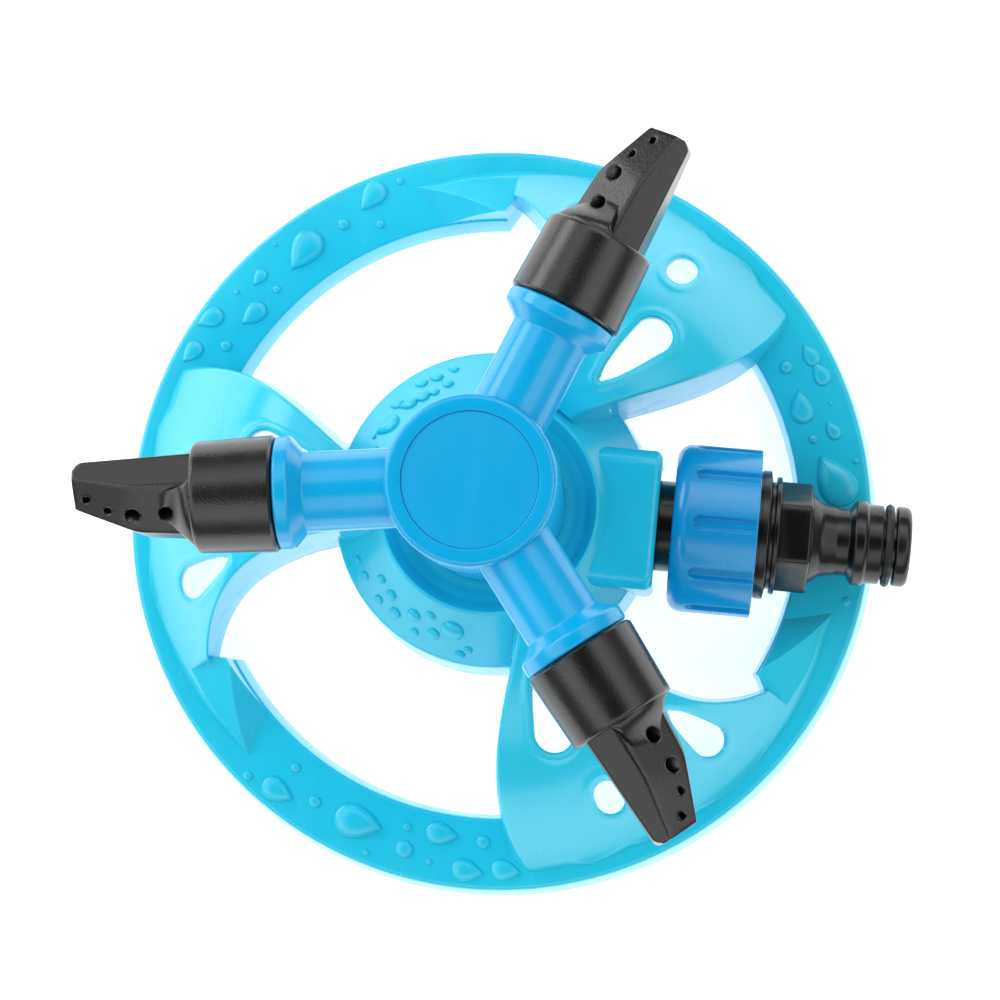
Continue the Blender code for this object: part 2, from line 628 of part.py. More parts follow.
def build_inlet():
    """Tail, its seal, the swivel nut, the washer, the filter, the plug and the plug's ring."""
    tail = turned([(TAIL_R, TAIL_FOOT), (TAIL_R, TAIL_SEAL_L - 1.1), (SEAL_GROOVE_R, TAIL_SEAL_L - 1.1),
                   (SEAL_GROOVE_R, TAIL_SEAL_L + 1.1), (TAIL_R, TAIL_SEAL_L + 1.1),
                   (TAIL_R, FLANGE_START), (THREAD_R - 0.1, FLANGE_START),
                   (THREAD_R - 0.1, FLANGE_START + FLANGE_T), (TAIL_BORE_R, FLANGE_START + FLANGE_T),
                   (TAIL_BORE_R, TAIL_FOOT)], 24)
    add("inlet_tail", *tail, BLACK, 0.4, inlet_axis)

    seal_section = (TAIL_R - SEAL_GROOVE_R) / 2.0 - GAP / 2.0
    seal_r = SEAL_GROOVE_R + GAP + seal_section
    seal = moved(torus(seal_r, min(seal_section, 0.8)), Matrix.Translation(Vector((0.0, 0.0, TAIL_SEAL_L))))
    add("tail_seal", *seal, RUBBER, 0.6, inlet_axis)

    nut = turned([(NUT_R - 2.0, NUT_START), (NUT_R - 0.6, NUT_START + 0.7), (NUT_R, NUT_START + 2.2),
                  (NUT_R, NUT_END - 0.5), (NUT_R - 0.5, NUT_END), (NUT_BORE_R, NUT_END),
                  (NUT_BORE_R, NUT_START + NUT_WEB), (TAIL_R + SLIDE, NUT_START + NUT_WEB),
                  (TAIL_R + SLIDE, NUT_START)], 40)
    nut = add("swivel_nut", *nut, NUT_BLUE, 0.3, inlet_axis)
    half = NUT_GROOVE_W / 2.0
    low, high = NUT_R - NUT_GROOVE_DEPTH, NUT_R + 1.0
    block = prism([(low, -half), (high, -half), (high, half), (low, half)],
                  NUT_START + NUT_SHOULDER, NUT_END + 1.0)
    grooves = [moved(block, spun(360.0 * i / NUT_GROOVES)) for i in range(NUT_GROOVES)]
    boolean(nut, cutter("nut_grooves", *joined(grooves), inlet_axis), "DIFFERENCE")

    washer = turned([(THREAD_R - 0.1, WASHER_START), (THREAD_R - 0.1, WASHER_START + WASHER_T),
                     (TAIL_BORE_R + 1.5, WASHER_START + WASHER_T), (TAIL_BORE_R + 1.5, WASHER_START)], 24)
    add("hose_washer", *washer, RUBBER, 0.7, inlet_axis)

    disc = rod(THREAD_R - 0.4, FILTER_START, FILTER_START + FILTER_T, 24)
    screen = add("filter_screen", *disc, STEEL, 0.4, inlet_axis)
    hole = rod(1.2, FILTER_START - 1.0, FILTER_START + FILTER_T + 1.0, 8)
    out = Matrix.Translation(Vector((3.4, 0.0, 0.0)))
    holes = [hole] + [moved(hole, spun(60.0 * i) @ out) for i in range(6)]
    boolean(screen, cutter("screen_holes", *joined(holes), inlet_axis), "DIFFERENCE")

    end = PLUG_END
    plug = [(THREAD_R, THREAD_START), (THREAD_R, NUT_END + 0.6), (THREAD_R + 0.2, NUT_END + 0.6),
            (THREAD_R + 0.2, NUT_END + 2.4), (11.0, NUT_END + 2.7), (11.0, NUT_END + 3.3),
            (12.1, NUT_END + 3.4), (12.1, NUT_END + 4.5), (HEX_ACROSS / 2.0 - 0.6, NUT_END + 4.5),
            (HEX_ACROSS / 2.0 - 0.6, NUT_END + 4.5 + HEX_LENGTH), (NECK_R + 0.9, end - 16.6),
            (NECK_R, end - 15.0), (NECK_R, end - 12.2), (LOCK_R, end - 11.2), (LOCK_R, end - 9.4),
            (BARREL_R, end - 8.8), (BARREL_R, end - PLUG_SEAL_BACK - 1.15),
            (PLUG_GROOVE_R, end - PLUG_SEAL_BACK - 1.15), (PLUG_GROOVE_R, end - PLUG_SEAL_BACK + 1.15),
            (TIP_R, end - PLUG_SEAL_BACK + 1.15), (TIP_R, end - 0.9), (TIP_R - 0.9, end),
            (PLUG_BORE_R, end), (PLUG_BORE_R, THREAD_START)]
    plug = add("quick_plug", *turned(plug, 26), BLACK, 0.25, inlet_axis)
    across = HEX_ACROSS / 2.0 / math.cos(math.radians(30.0))
    corners = [FULL_TURN * i / 6.0 for i in range(6)]
    hexagon = [(across * math.cos(a), across * math.sin(a)) for a in corners]
    block = prism(hexagon, NUT_END + 4.2, NUT_END + 4.5 + HEX_LENGTH - 0.4)
    core = rod(NECK_R, NUT_END + 3.0, NUT_END + 4.5 + HEX_LENGTH, 16)
    head = cutter("hex_shape", *block, inlet_axis)
    boolean(head, cutter("hex_core", *core, inlet_axis), "DIFFERENCE")
    boolean(plug, head, "UNION")

    ring = moved(torus(PLUG_GROOVE_R + GAP + RING_SECTION, RING_SECTION),
                 Matrix.Translation(Vector((0.0, 0.0, end - PLUG_SEAL_BACK))))
    add("plug_ring", *ring, RUBBER, 0.5, inlet_axis)


# ------------------------------------------------------------------ spindle and bearing

def build_spindle():
    """Fixed hollow post with the seal, washers, bush and lock nut that hold the rotor."""
    groove = SPINDLE_R - 1.3
    post = turned([(SPINDLE_R, SPINDLE_FOOT_Z), (SPINDLE_R, DUCT_BARREL_TOP + 0.5),
                   (SHOULDER_R, DUCT_BARREL_TOP + 0.9), (SHOULDER_R, SPINDLE_SHOULDER_Z),
                   (SPINDLE_R, SPINDLE_SHOULDER_Z), (SPINDLE_R, SPINDLE_SEAL_Z - 1.0),
                   (groove, SPINDLE_SEAL_Z - 1.0), (groove, SPINDLE_SEAL_Z + 1.0),
                   (SPINDLE_R, SPINDLE_SEAL_Z + 1.0), (SPINDLE_R, SPINDLE_TOP),
                   (SPINDLE_BORE_R, SPINDLE_TOP), (SPINDLE_BORE_R, SPINDLE_FOOT_Z)], 22)
    add("spindle", *post, WHITE, 0.35, rotor_axis)

    section = (SPINDLE_R - groove) / 2.0 - GAP / 2.0
    seal = moved(torus(groove + GAP + section, section),
                 Matrix.Translation(Vector((0.0, 0.0, SPINDLE_SEAL_Z))))
    add("spindle_seal", *seal, RUBBER, 0.6, rotor_axis)

    low = SPINDLE_SHOULDER_Z + GAP
    lower = turned([(SHOULDER_R, low), (SHOULDER_R, low + THRUST_T),
                    (SPINDLE_R + GAP, low + THRUST_T), (SPINDLE_R + GAP, low)], 22)
    add("lower_thrust_washer", *lower, WHITE, 0.4, rotor_axis)

    bush = turned([(BUSH_OUT_R, BUSH_FOOT), (BUSH_OUT_R, BUSH_TOP), (SPINDLE_R + GAP, BUSH_TOP),
                   (SPINDLE_R + GAP, BUSH_FOOT)], 24)
    add("bearing_bush", *bush, BRASS, 0.3, rotor_axis)

    low = CHAMBER_FLOOR + GAP
    upper = turned([(BUSH_OUT_R + 1.2, low), (BUSH_OUT_R + 1.2, low + THRUST_T),
                    (SPINDLE_R + GAP, low + THRUST_T), (SPINDLE_R + GAP, low)], 22)
    add("upper_thrust_washer", *upper, WHITE, 0.4, rotor_axis)

    across = BUSH_OUT_R + 1.6
    corners = [FULL_TURN * i / 6.0 for i in range(6)]
    outline = [(across * math.cos(a), across * math.sin(a)) for a in corners]
    nut = add("spindle_locknut", *prism(outline, LOCKNUT_Z, LOCKNUT_Z + LOCKNUT_H), BRASS, 0.3, rotor_axis)
    hole = rod(SPINDLE_R + GAP, LOCKNUT_Z - 1.0, LOCKNUT_Z + LOCKNUT_H + 1.0, 22)
    boolean(nut, cutter("locknut_bore", *hole, rotor_axis), "DIFFERENCE")


# ------------------------------------------------------------------ rotor

def arm_frame(i):
    """A frame on arm i whose Z runs outward along the arm's axis."""
    turn = spun(ARM_FIRST + i * 360.0 / ARM_COUNT)
    up = Matrix.Translation(Vector((0.0, 0.0, ARM_Z)))
    return turn @ up @ Matrix.Rotation(math.radians(90.0), 4, "Y")


def build_rotor():
    """Blue moulding: the hub with its skirt and bearing barrel, and three hollow arms."""
    hub = turned([(HUB_CAP_R + GAP, HUB_TOP_Z), (HUB_R - 0.8, HUB_TOP_Z), (HUB_R, HUB_TOP_Z - 0.8),
                  (HUB_R, CHAMBER_FLOOR - 1.0), (HUB_SKIRT_R, CHAMBER_FLOOR - 1.6),
                  (HUB_SKIRT_R, HUB_FOOT_Z), (HUB_SKIRT_R - HUB_WALL, HUB_FOOT_Z),
                  (HUB_SKIRT_R - HUB_WALL, CHAMBER_FLOOR - 3.2), (HUB_BARREL_R, CHAMBER_FLOOR - 3.2),
                  (HUB_BARREL_R, BUSH_FOOT - 1.0), (HUB_BORE_R, BUSH_FOOT - 1.0),
                  (HUB_BORE_R, BUSH_TOP + GAP), (SPINDLE_R + SLIDE, BUSH_TOP + GAP),
                  (SPINDLE_R + SLIDE, CHAMBER_FLOOR), (CHAMBER_R, CHAMBER_FLOOR), (CHAMBER_R, CHAMBER_TOP),
                  (HUB_CAP_R + GAP, CHAMBER_TOP)], 36)
    hub = add("rotor_hub", *hub, BLUE, 0.2, rotor_axis)
    inner = (CHAMBER_R + HUB_R) / 2.0
    g, s = SPIGOT_GROOVE_R, SPIGOT_SEAL_L
    arm = turned([(0.0, inner), (ARM_R, inner), (ARM_R, COLLAR_END - COLLAR_L),
                  (COLLAR_R - 0.6, COLLAR_END - 2.8), (COLLAR_R, COLLAR_END - 2.2), (COLLAR_R, COLLAR_END), (SPIGOT_R, COLLAR_END),
                  (SPIGOT_R, s - 1.0), (g, s - 1.0), (g, s + 1.0), (SPIGOT_R, s + 1.0),
                  (SPIGOT_R, SPIGOT_END), (0.0, SPIGOT_END)], 22)
    arms = [moved(arm, arm_frame(i)) for i in range(ARM_COUNT)]
    boolean(hub, cutter("arm_shapes", *joined(arms), rotor_axis), "UNION")
    bore = rod(ARM_BORE_R, CHAMBER_R - 3.0, SPIGOT_END + 1.0, 16)
    bores = [moved(bore, arm_frame(i)) for i in range(ARM_COUNT)]
    boolean(hub, cutter("arm_bores", *joined(bores), rotor_axis), "DIFFERENCE")

    top = HUB_TOP_Z - HUB_CAP_SINK
    cap = turned([(0.0, top - HUB_CAP_T), (HUB_CAP_R, top - HUB_CAP_T), (HUB_CAP_R, top), (0.0, top)], 36)
    add("hub_cap", *cap, BLUE, 0.2, rotor_axis)


# ------------------------------------------------------------------ nozzle caps

def bill_solid():
    """The flat bill, along Z from the cap's end. X points down and Y to the anticlockwise side.

    Its top is a roof: a broad face on the clockwise side of the ridge and a steeper one on the
    other. Past the bend the anticlockwise side is cut back and the ridge runs to the other corner.
    """
    stations = []
    for z, depth, left, ridge, right in [
            (CAP_FACE - 3.0, 1.0, -BILL_HALF_W, -BILL_RIDGE, BILL_HALF_W),
            (CAP_FACE + BILL_BEND, 0.97, 0.3 - BILL_HALF_W, -BILL_RIDGE - 0.2, BILL_HALF_W - 1.2),
            (BILL_END - 1.2, 0.62, 0.6 - BILL_HALF_W, 1.9 - BILL_HALF_W, 2.0),
            (BILL_END, 0.5, 0.8 - BILL_HALF_W, 1.9 - BILL_HALF_W, 1.4)]:
        top, low = BILL_TOP * depth, BILL_BOTTOM * depth
        shoulder = left + 0.15 * (ridge - left)
        section = [(ridge, top), (shoulder, top - 1.3 * depth), (left, top - 2.2 * depth), (left, -low),
                   (right, -low), (right, 1.2 * depth)]
        stations.append([(-h, y, z) for y, h in section])
    return lofted(stations)


def jet(along, side, radius):
    """A short drilled hole, square to the face on the anticlockwise side."""
    lean = Matrix.Rotation(math.radians(-JET_LEAN), 4, "Z") @ Matrix.Rotation(math.radians(-90.0), 4, "Y")
    return moved(rod(radius, 0.0, 14.0, 10), Matrix.Translation(Vector((0.0, side, along))) @ lean)


def build_nozzle(i):
    """Black cap that snaps over the spigot, with its bill, waterway and four jets."""
    axis = empty(f"nozzle_axis_{i + 1}", (0.0, 0.0, 0.0), rotor_axis)
    axis.matrix_local = scaled(arm_frame(i))
    cap = turned([(CAP_R, CAP_START), (CAP_END_R, CAP_FACE - 0.8), (CAP_END_R - 0.8, CAP_FACE),
                  (0.0, CAP_FACE)][::-1] + [(0.0, CAP_START)], 28)
    nozzle = add(f"nozzle_{i + 1}", *cap, BLACK, 0.55, axis)
    boolean(nozzle, cutter(f"bill_shape_{i + 1}", *bill_solid(), axis), "UNION")
    bore = turned([(0.0, CAP_START - 1.0), (CAP_BORE_R, CAP_START - 1.0), (CAP_BORE_R, SPIGOT_END + GAP),
                   (WATERWAY_R, SPIGOT_END + GAP + 1.0), (WATERWAY_R, CAP_FACE + BILL_BEND - 1.0),
                   (WATERWAY_END_R, BILL_END - 2.4), (0.0, BILL_END - 2.4)], 16)
    waterway = cutter(f"nozzle_bore_{i + 1}", *bore, axis)
    drilled = [jet(CAP_FACE + out, 0.6, JET_R) for out in JETS_OUT]
    drilled += [jet(CAP_FACE + out, -0.6, FINE_JET_R) for out in FINE_JETS_OUT]
    boolean(waterway, cutter(f"jets_{i + 1}", *joined(drilled), axis), "UNION")
    boolean(nozzle, waterway, "DIFFERENCE")

    section = (SPIGOT_R - SPIGOT_GROOVE_R) / 2.0 - GAP / 2.0
    seal = moved(torus(SPIGOT_GROOVE_R + GAP + section, section),
                 Matrix.Translation(Vector((0.0, 0.0, SPIGOT_SEAL_L))))
    add(f"nozzle_seal_{i + 1}", *seal, RUBBER, 0.6, axis)


def scaled(matrix):
    out = matrix.copy()
    out.translation = out.translation * MM
    return out


build_base()
build_duct()
build_screws()
build_inlet()
build_spindle()
build_rotor()
for number in range(ARM_COUNT):
    build_nozzle(number)
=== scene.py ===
"""A rotary lawn sprinkler: the finished surfaces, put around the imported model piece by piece."""

import math

import bpy
import bmesh
import numpy as np
from mathutils import Matrix, Vector


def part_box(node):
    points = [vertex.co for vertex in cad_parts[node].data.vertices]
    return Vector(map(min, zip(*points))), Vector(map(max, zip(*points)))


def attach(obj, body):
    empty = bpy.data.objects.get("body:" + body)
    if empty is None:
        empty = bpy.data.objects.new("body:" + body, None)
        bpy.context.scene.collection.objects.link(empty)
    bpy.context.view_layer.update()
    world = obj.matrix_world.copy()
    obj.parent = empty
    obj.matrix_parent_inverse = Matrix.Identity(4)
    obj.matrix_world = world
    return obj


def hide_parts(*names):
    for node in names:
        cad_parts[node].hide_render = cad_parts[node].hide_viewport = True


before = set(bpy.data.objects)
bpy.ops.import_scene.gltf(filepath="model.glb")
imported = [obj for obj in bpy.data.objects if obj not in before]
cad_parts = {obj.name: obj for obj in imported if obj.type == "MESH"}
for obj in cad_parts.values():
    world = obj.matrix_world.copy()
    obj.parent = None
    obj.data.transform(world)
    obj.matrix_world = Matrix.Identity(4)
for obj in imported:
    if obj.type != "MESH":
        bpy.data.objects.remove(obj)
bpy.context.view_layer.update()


# ---------------------------------------------------------------- camera, floor and light
# The sprinkler is seen from nearly straight above, from 0.58 m, with a long lens. It stands on a
# white glowing floor in a tent that is brightest from 40 to 62 degrees up and dark overhead, round
# the camera, with a strong soft box at the upper left and weaker ones round it.
MM = 0.001
low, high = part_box("hub_cap")
AXIS_X = (low.x + high.x) / 2.0 / MM
AXIS_Y = (low.y + high.y) / 2.0 / MM
CAMERA_FROM = (42.06, -44.93, 582.0)      # mm, from the rotor's axis on the ground
CAMERA_TO = (-0.7, 4.4, 0.0)
CAMERA_UP = (-0.0869, 0.992, 0.091)
CAMERA_LENS = 97.92
TENT = (                 # (sine of the elevation, level)
    (0.0, 0.22), (0.45, 0.32), (0.65, 1.05), (0.88, 1.50), (0.92, 0.7), (0.95, 0.05))
FLOOR_GLOW = 0.80

scene = bpy.context.scene
camera_data = bpy.data.cameras.new("camera")
camera_data.lens = CAMERA_LENS
camera_data.sensor_width = 36.0
camera_data.clip_end = 20.0
camera = bpy.data.objects.new("camera", camera_data)
scene.collection.objects.link(camera)
forward = (Vector(CAMERA_TO) - Vector(CAMERA_FROM)).normalized()
right = forward.cross(Vector(CAMERA_UP)).normalized()
turn = Matrix((right, right.cross(forward), -forward)).transposed().to_4x4()
camera.matrix_world = Matrix.Translation((Vector(CAMERA_FROM) + Vector((AXIS_X, AXIS_Y, 0.0))) * MM) @ turn
scene.camera = camera
scene.view_settings.view_transform = "Standard"
scene.view_settings.look = "None"

world = bpy.data.worlds.new("white_tent")
world.use_nodes = True
tent = world.node_tree
tent_direction = tent.nodes.new("ShaderNodeTexCoord").outputs["Generated"]
tent_parts = tent.nodes.new("ShaderNodeSeparateXYZ")
tent.links.new(tent_direction, tent_parts.inputs["Vector"])
tent_level = tent.nodes.new("ShaderNodeValToRGB")
tent_level.color_ramp.elements.remove(tent_level.color_ramp.elements[1])
for number, (sine, level) in enumerate(TENT):
    stop = tent_level.color_ramp.elements[0] if number == 0 else tent_level.color_ramp.elements.new(sine)
    stop.position, stop.color = sine, (level, level, level, 1.0)
tent.links.new(tent_parts.outputs["Z"], tent_level.inputs["Fac"])
tent.links.new(tent_level.outputs["Color"], tent.nodes["Background"].inputs["Color"])
scene.world = world


def soft_box(name, place, size, radiance):
    """A rectangular area light at place (metres) that faces the rotor's axis 40 mm up. Its power
    is the radiance of its face times its area times pi."""
    data = bpy.data.lights.new(name, "AREA")
    data.shape, data.size, data.size_y = "RECTANGLE", size[0], size[1]
    data.energy = radiance * size[0] * size[1] * math.pi
    lamp = bpy.data.objects.new(name, data)
    aim = Vector((AXIS_X * MM, AXIS_Y * MM, 0.04)) - Vector(place)
    lamp.rotation_euler = aim.to_track_quat("-Z", "Y").to_euler()
    lamp.location = place
    scene.collection.objects.link(lamp)


soft_box("box_upper_left", (-1.05, 0.55, 0.50), (1.1, 0.5), 3.6)
soft_box("box_left", (-0.85, -0.30, 0.80), (0.7, 0.5), 1.0)
soft_box("box_back", (0.25, 0.95, 0.85), (0.9, 0.5), 1.1)
soft_box("box_right", (0.95, -0.10, 0.80), (0.7, 0.5), 0.5)
soft_box("box_front", (-0.10, -0.95, 0.80), (0.8, 0.5), 0.5)


def grid_quads(rows, columns, wrap_rows=False, wrap_columns=False):
    """Quads of a grid of rows x columns points, closed round either way."""
    i = np.arange(rows if wrap_rows else rows - 1)[:, None]
    j = np.arange(columns if wrap_columns else columns - 1)[None, :]
    i2, j2 = (i + 1) % rows, (j + 1) % columns
    corners = [i * columns + j, i2 * columns + j, i2 * columns + j2, i * columns + j2]
    return np.stack(corners, axis=-1).reshape(-1, 4)


def make_mesh(name, points, quads, material, sharp=34.0):
    """A mesh object in metres from points in mm round the rotor's axis. Doubled points are merged,
    and the faces of each closed shell are turned outwards."""
    place = np.asarray(points, float).reshape(-1, 3) + (AXIS_X, AXIS_Y, 0.0)
    mesh = bpy.data.meshes.new(name)
    mesh.from_pydata((place * MM).tolist(), [], np.asarray(quads).tolist())
    solid = bmesh.new()
    solid.from_mesh(mesh)
    bmesh.ops.remove_doubles(solid, verts=solid.verts, dist=2e-6)
    bmesh.ops.dissolve_degenerate(solid, edges=solid.edges, dist=1e-7)
    bmesh.ops.recalc_face_normals(solid, faces=solid.faces)
    solid.to_mesh(mesh)
    solid.free()
    mesh.shade_smooth()
    mesh.set_sharp_from_angle(angle=math.radians(sharp))
    mesh.materials.append(material)
    piece = bpy.data.objects.new(name, mesh)
    scene.collection.objects.link(piece)
    return piece


def linear(red, green, blue):
    """A colour given in 0 to 255 display steps, as the linear light a shader takes."""
    steps = np.array((red, green, blue)) / 255.0
    return tuple(np.where(steps <= 0.04045, steps / 12.92, ((steps + 0.055) / 1.055) ** 2.4)) + (1.0,)


def link_noise(tree, coordinates, scale, detail=3.0, stretch=(1.0, 1.0, 1.0)):
    """Noise on the piece's own coordinates in metres; scale counts its waves per metre."""
    mapping = tree.nodes.new("ShaderNodeMapping")
    mapping.inputs["Scale"].default_value = stretch
    noise = tree.nodes.new("ShaderNodeTexNoise")
    noise.inputs["Scale"].default_value = scale
    noise.inputs["Detail"].default_value = detail
    tree.links.new(coordinates, mapping.inputs["Vector"])
    tree.links.new(mapping.outputs["Vector"], noise.inputs["Vector"])
    return noise.outputs["Fac"]


def link_range(tree, value, span, low_high):
    """Maps value from span onto low_high, held at both ends."""
    node = tree.nodes.new("ShaderNodeMapRange")
    node.inputs["From Min"].default_value, node.inputs["From Max"].default_value = span
    node.inputs["To Min"].default_value, node.inputs["To Max"].default_value = low_high
    tree.links.new(value, node.inputs["Value"])
    return node.outputs["Result"]


def moulded(name, dark, light, roughness, grain, scuff=0.12, coat=0.0, glow=0.0, specular=0.5, metal=0.0):
    """Moulded plastic, rubber or turned metal: slow drifts of colour between dark and light, fine
    grain as (waves per metre, depth in mm) in the bump, and rubbed streaks in the roughness."""
    material = bpy.data.materials.new(name)
    material.use_nodes = True
    tree = material.node_tree
    shader = tree.nodes["Principled BSDF"]
    where = tree.nodes.new("ShaderNodeTexCoord").outputs["Object"]

    mix = tree.nodes.new("ShaderNodeMix")
    mix.data_type = "RGBA"
    mix.inputs[6].default_value, mix.inputs[7].default_value = dark, light
    drift = link_range(tree, link_noise(tree, where, 38.0), (0.35, 0.65), (0.0, 1.0))
    tree.links.new(drift, mix.inputs[0])
    tree.links.new(mix.outputs[2], shader.inputs["Base Color"])

    streaks = link_noise(tree, where, 260.0, 5.0, (1.0, 0.22, 1.0))
    rubbed = link_range(tree, streaks, (0.45, 0.75), (roughness, roughness + scuff))
    tree.links.new(rubbed, shader.inputs["Roughness"])

    bump = tree.nodes.new("ShaderNodeBump")
    bump.inputs["Strength"].default_value = 1.0
    bump.inputs["Distance"].default_value = grain[1] * MM
    tree.links.new(link_noise(tree, where, grain[0], 2.0), bump.inputs["Height"])
    tree.links.new(bump.outputs["Normal"], shader.inputs["Normal"])

    shader.inputs["Metallic"].default_value = metal
    shader.inputs["Specular IOR Level"].default_value = specular
    shader.inputs["Coat Weight"].default_value = coat
    shader.inputs["Coat Roughness"].default_value = 0.08
    if glow > 0.0:
        shader.inputs["Subsurface Weight"].default_value = glow
        shader.inputs["Subsurface Radius"].default_value = (0.2, 0.9, 1.0)
        shader.inputs["Subsurface Scale"].default_value = 0.002
    return material


floor_paper = moulded("floor_paper", linear(246, 247, 248), linear(250, 250, 251), 0.75, (900.0, 0.01), 0.1)
floor_shader = floor_paper.node_tree.nodes["Principled BSDF"]
floor_shader.inputs["Emission Color"].default_value = (1.0, 1.0, 1.0, 1.0)
floor_shader.inputs["Emission Strength"].default_value = FLOOR_GLOW
FLOOR_HALF = 2500.0
floor_points = [(-FLOOR_HALF, -FLOOR_HALF, 0.0), (FLOOR_HALF, -FLOOR_HALF, 0.0),
                (FLOOR_HALF, FLOOR_HALF, 0.0), (-FLOOR_HALF, FLOOR_HALF, 0.0)]
floor = make_mesh("floor", floor_points, [(0, 1, 2, 3)], floor_paper)


# ---------------------------------------------------------------- base: the ring
# The base is one injection moulding in cyan polypropylene. Its ring is an upside-down channel with
# a flat top and drafted skirts. Under each blade the channel narrows to the outer rim.
cyan = moulded("base_cyan", linear(30, 202, 234), linear(40, 210, 240), 0.20, (1500.0, 0.004), 0.10,
               coat=0.1, glow=0.10)

BLADES = 3
BLADE_FIRST = 41.5       # direction of the first blade, degrees
RING_H = 10.0
RING_R = 80.0            # at the ground
RING_TOP_R = 78.3
RING_IN_R = 63.4
RING_WALL = 2.3
RIM_IN_R = 71.5          # inside of the rim under a blade
NOTCH_START, NOTCH_END = 49.9, 51.8   # degrees past the blade's direction
NOTCH_R = 67.1
SPIKE_R = 64.0
LEAD_IN_START, LEAD_IN_TURN = 2.0, 3.0   # the rim starts this far before a blade, over this turn


def rounded(corners, closed=True, steps=6):
    """An outline through corners (x, y, radius): each corner is an arc of its radius that touches
    both of its sides, drawn as steps chords."""
    points = []
    count = len(corners)
    for k, (x, y, radius) in enumerate(corners):
        here = np.array((x, y), float)
        if radius <= 0.0 or (not closed and k in (0, count - 1)):
            points.append(here)
            continue
        before = np.array(corners[k - 1][:2]) - here
        after = np.array(corners[(k + 1) % count][:2]) - here
        to_before, to_after = before / np.linalg.norm(before), after / np.linalg.norm(after)
        half = math.acos(np.clip(to_before @ to_after, -1.0, 1.0)) / 2.0
        reach = radius / math.tan(half)
        most = 0.499 * min(np.linalg.norm(before), np.linalg.norm(after))
        if reach > most:
            reach, radius = most, most * math.tan(half)
        bisector = (to_before + to_after) / np.linalg.norm(to_before + to_after)
        middle = here + bisector * radius / math.sin(half)
        start, end = here + to_before * reach - middle, here + to_after * reach - middle
        sweep = math.pi - 2.0 * half
        share = np.linspace(0.0, 1.0, steps + 1)[:, None]
        arc = (np.sin((1.0 - share) * sweep) * start + np.sin(share * sweep) * end) / math.sin(sweep)
        points.extend(middle + arc)
    return np.array(points)


def lathe(outline, steps, closed=True):
    """An outline of (radius, height) turned about the Z axis: points (steps x outline) and quads."""
    angle = np.linspace(0.0, 2.0 * math.pi, steps, endpoint=False)[:, None]
    r, z = outline[:, 0][None, :], outline[:, 1][None, :]
    points = np.stack([r * np.cos(angle), r * np.sin(angle), z + 0.0 * angle], axis=-1)
    return points, grid_quads(steps, len(outline), True, closed)


def past_blade(angle):
    """Degrees past the nearest blade's direction, from -20 to 100."""
    spacing = 360.0 / BLADES
    return (angle - BLADE_FIRST + 20.0) % spacing - 20.0


def ring_inside(angle):
    """Radius of the ring's inner wall: straight round, back to the rim under each blade, and cut
    by a slanting notch behind the blade's trailing edge."""
    past = past_blade(angle)
    notch = SPIKE_R + (NOTCH_END - past) / (NOTCH_END - NOTCH_START) * (NOTCH_R - SPIKE_R)
    inside = np.where(past > NOTCH_START, np.maximum(np.minimum(notch, NOTCH_R), RING_IN_R), RIM_IN_R)
    lead_in = RING_IN_R + (RIM_IN_R - RING_IN_R) * np.clip((past + LEAD_IN_START) / LEAD_IN_TURN, 0.0, 1.0)
    return np.where(past < 10.0, lead_in, inside)


RING_STEPS = 1440
ring_section = rounded([
    (RING_R, 0.0, 0.3), (RING_TOP_R, RING_H, 1.1), (RING_IN_R, RING_H, 0.8),
    (RING_IN_R - 0.5, 0.0, 0.3), (RING_IN_R - 0.5 + RING_WALL, 0.0, 0.3),
    (RING_IN_R + RING_WALL, RING_H - RING_WALL, 0.6), (RING_TOP_R - RING_WALL, RING_H - RING_WALL, 0.6),
    (RING_R - RING_WALL, 0.0, 0.3)])
ring_points, ring_quads = lathe(ring_section, RING_STEPS)
ring_angle = np.degrees(np.linspace(0.0, 2.0 * math.pi, RING_STEPS, endpoint=False))[:, None]
inward = np.clip((RING_TOP_R - 4.0 - ring_section[:, 0]) / 6.0, 0.0, 1.0)[None, :]
new_r = ring_section[:, 0][None, :] + inward * (ring_inside(ring_angle) - RING_IN_R)
ring_points[..., 0] = new_r * np.cos(np.radians(ring_angle))
ring_points[..., 1] = new_r * np.sin(np.radians(ring_angle))
ring = make_mesh("base_ring", ring_points, ring_quads, cyan)
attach(ring, "base")
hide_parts("base")


# ---------------------------------------------------------------- base: the three blades
# Each blade is a thin arched sheet from the bell's rim down to the ring, with a side wall along
# both edges, three windows with soft rims, and flat facets where it runs out on the ring.
BLADE_IN_R, BLADE_OUT_R = 23.7, 75.5
BLADE_TOP_Z = 42.5
BLADE_WALL = 2.2
BLADE_PITCH = 2.5
BLADE_END_R = 76.6       # the sheet dips into the ring before this radius
EDGE_FILLET = 0.9
EDGE_BAND = 2.6          # width of the strip along an edge that is rounded and turned down
EDGE_FLARE = 1.4
FLANK_SLOPE = 1.3        # steep facet along the ring
FACET_TURNS = (-6.0, 5.0, 9.0, 15.5, 22.0, 28.0, 35.0, 41.5, 50.0, 58.0, 64.0)   # degrees
FACET_RADII = (74.9, 74.7, 75.5, 74.7, 75.5, 75.0, 75.7, 74.9, 74.6, 73.9, 73.1)
ARCH_REACH, ARCH_POWER = 2.8, 1.35
WINDOW_LIP, LIP_AT, LIP_WIDTH = 0.35, 1.3, 0.8           # raised rim: height, place, width
WINDOW_ROUND = 0.5
FOLD_PLACES = (0.0, 0.22, 0.40, 0.62, 0.82, 1.0)         # share of the width
FOLD_HEIGHTS = (0.0, 0.35, -0.10, 0.30, -0.1, 0.2)       # mm
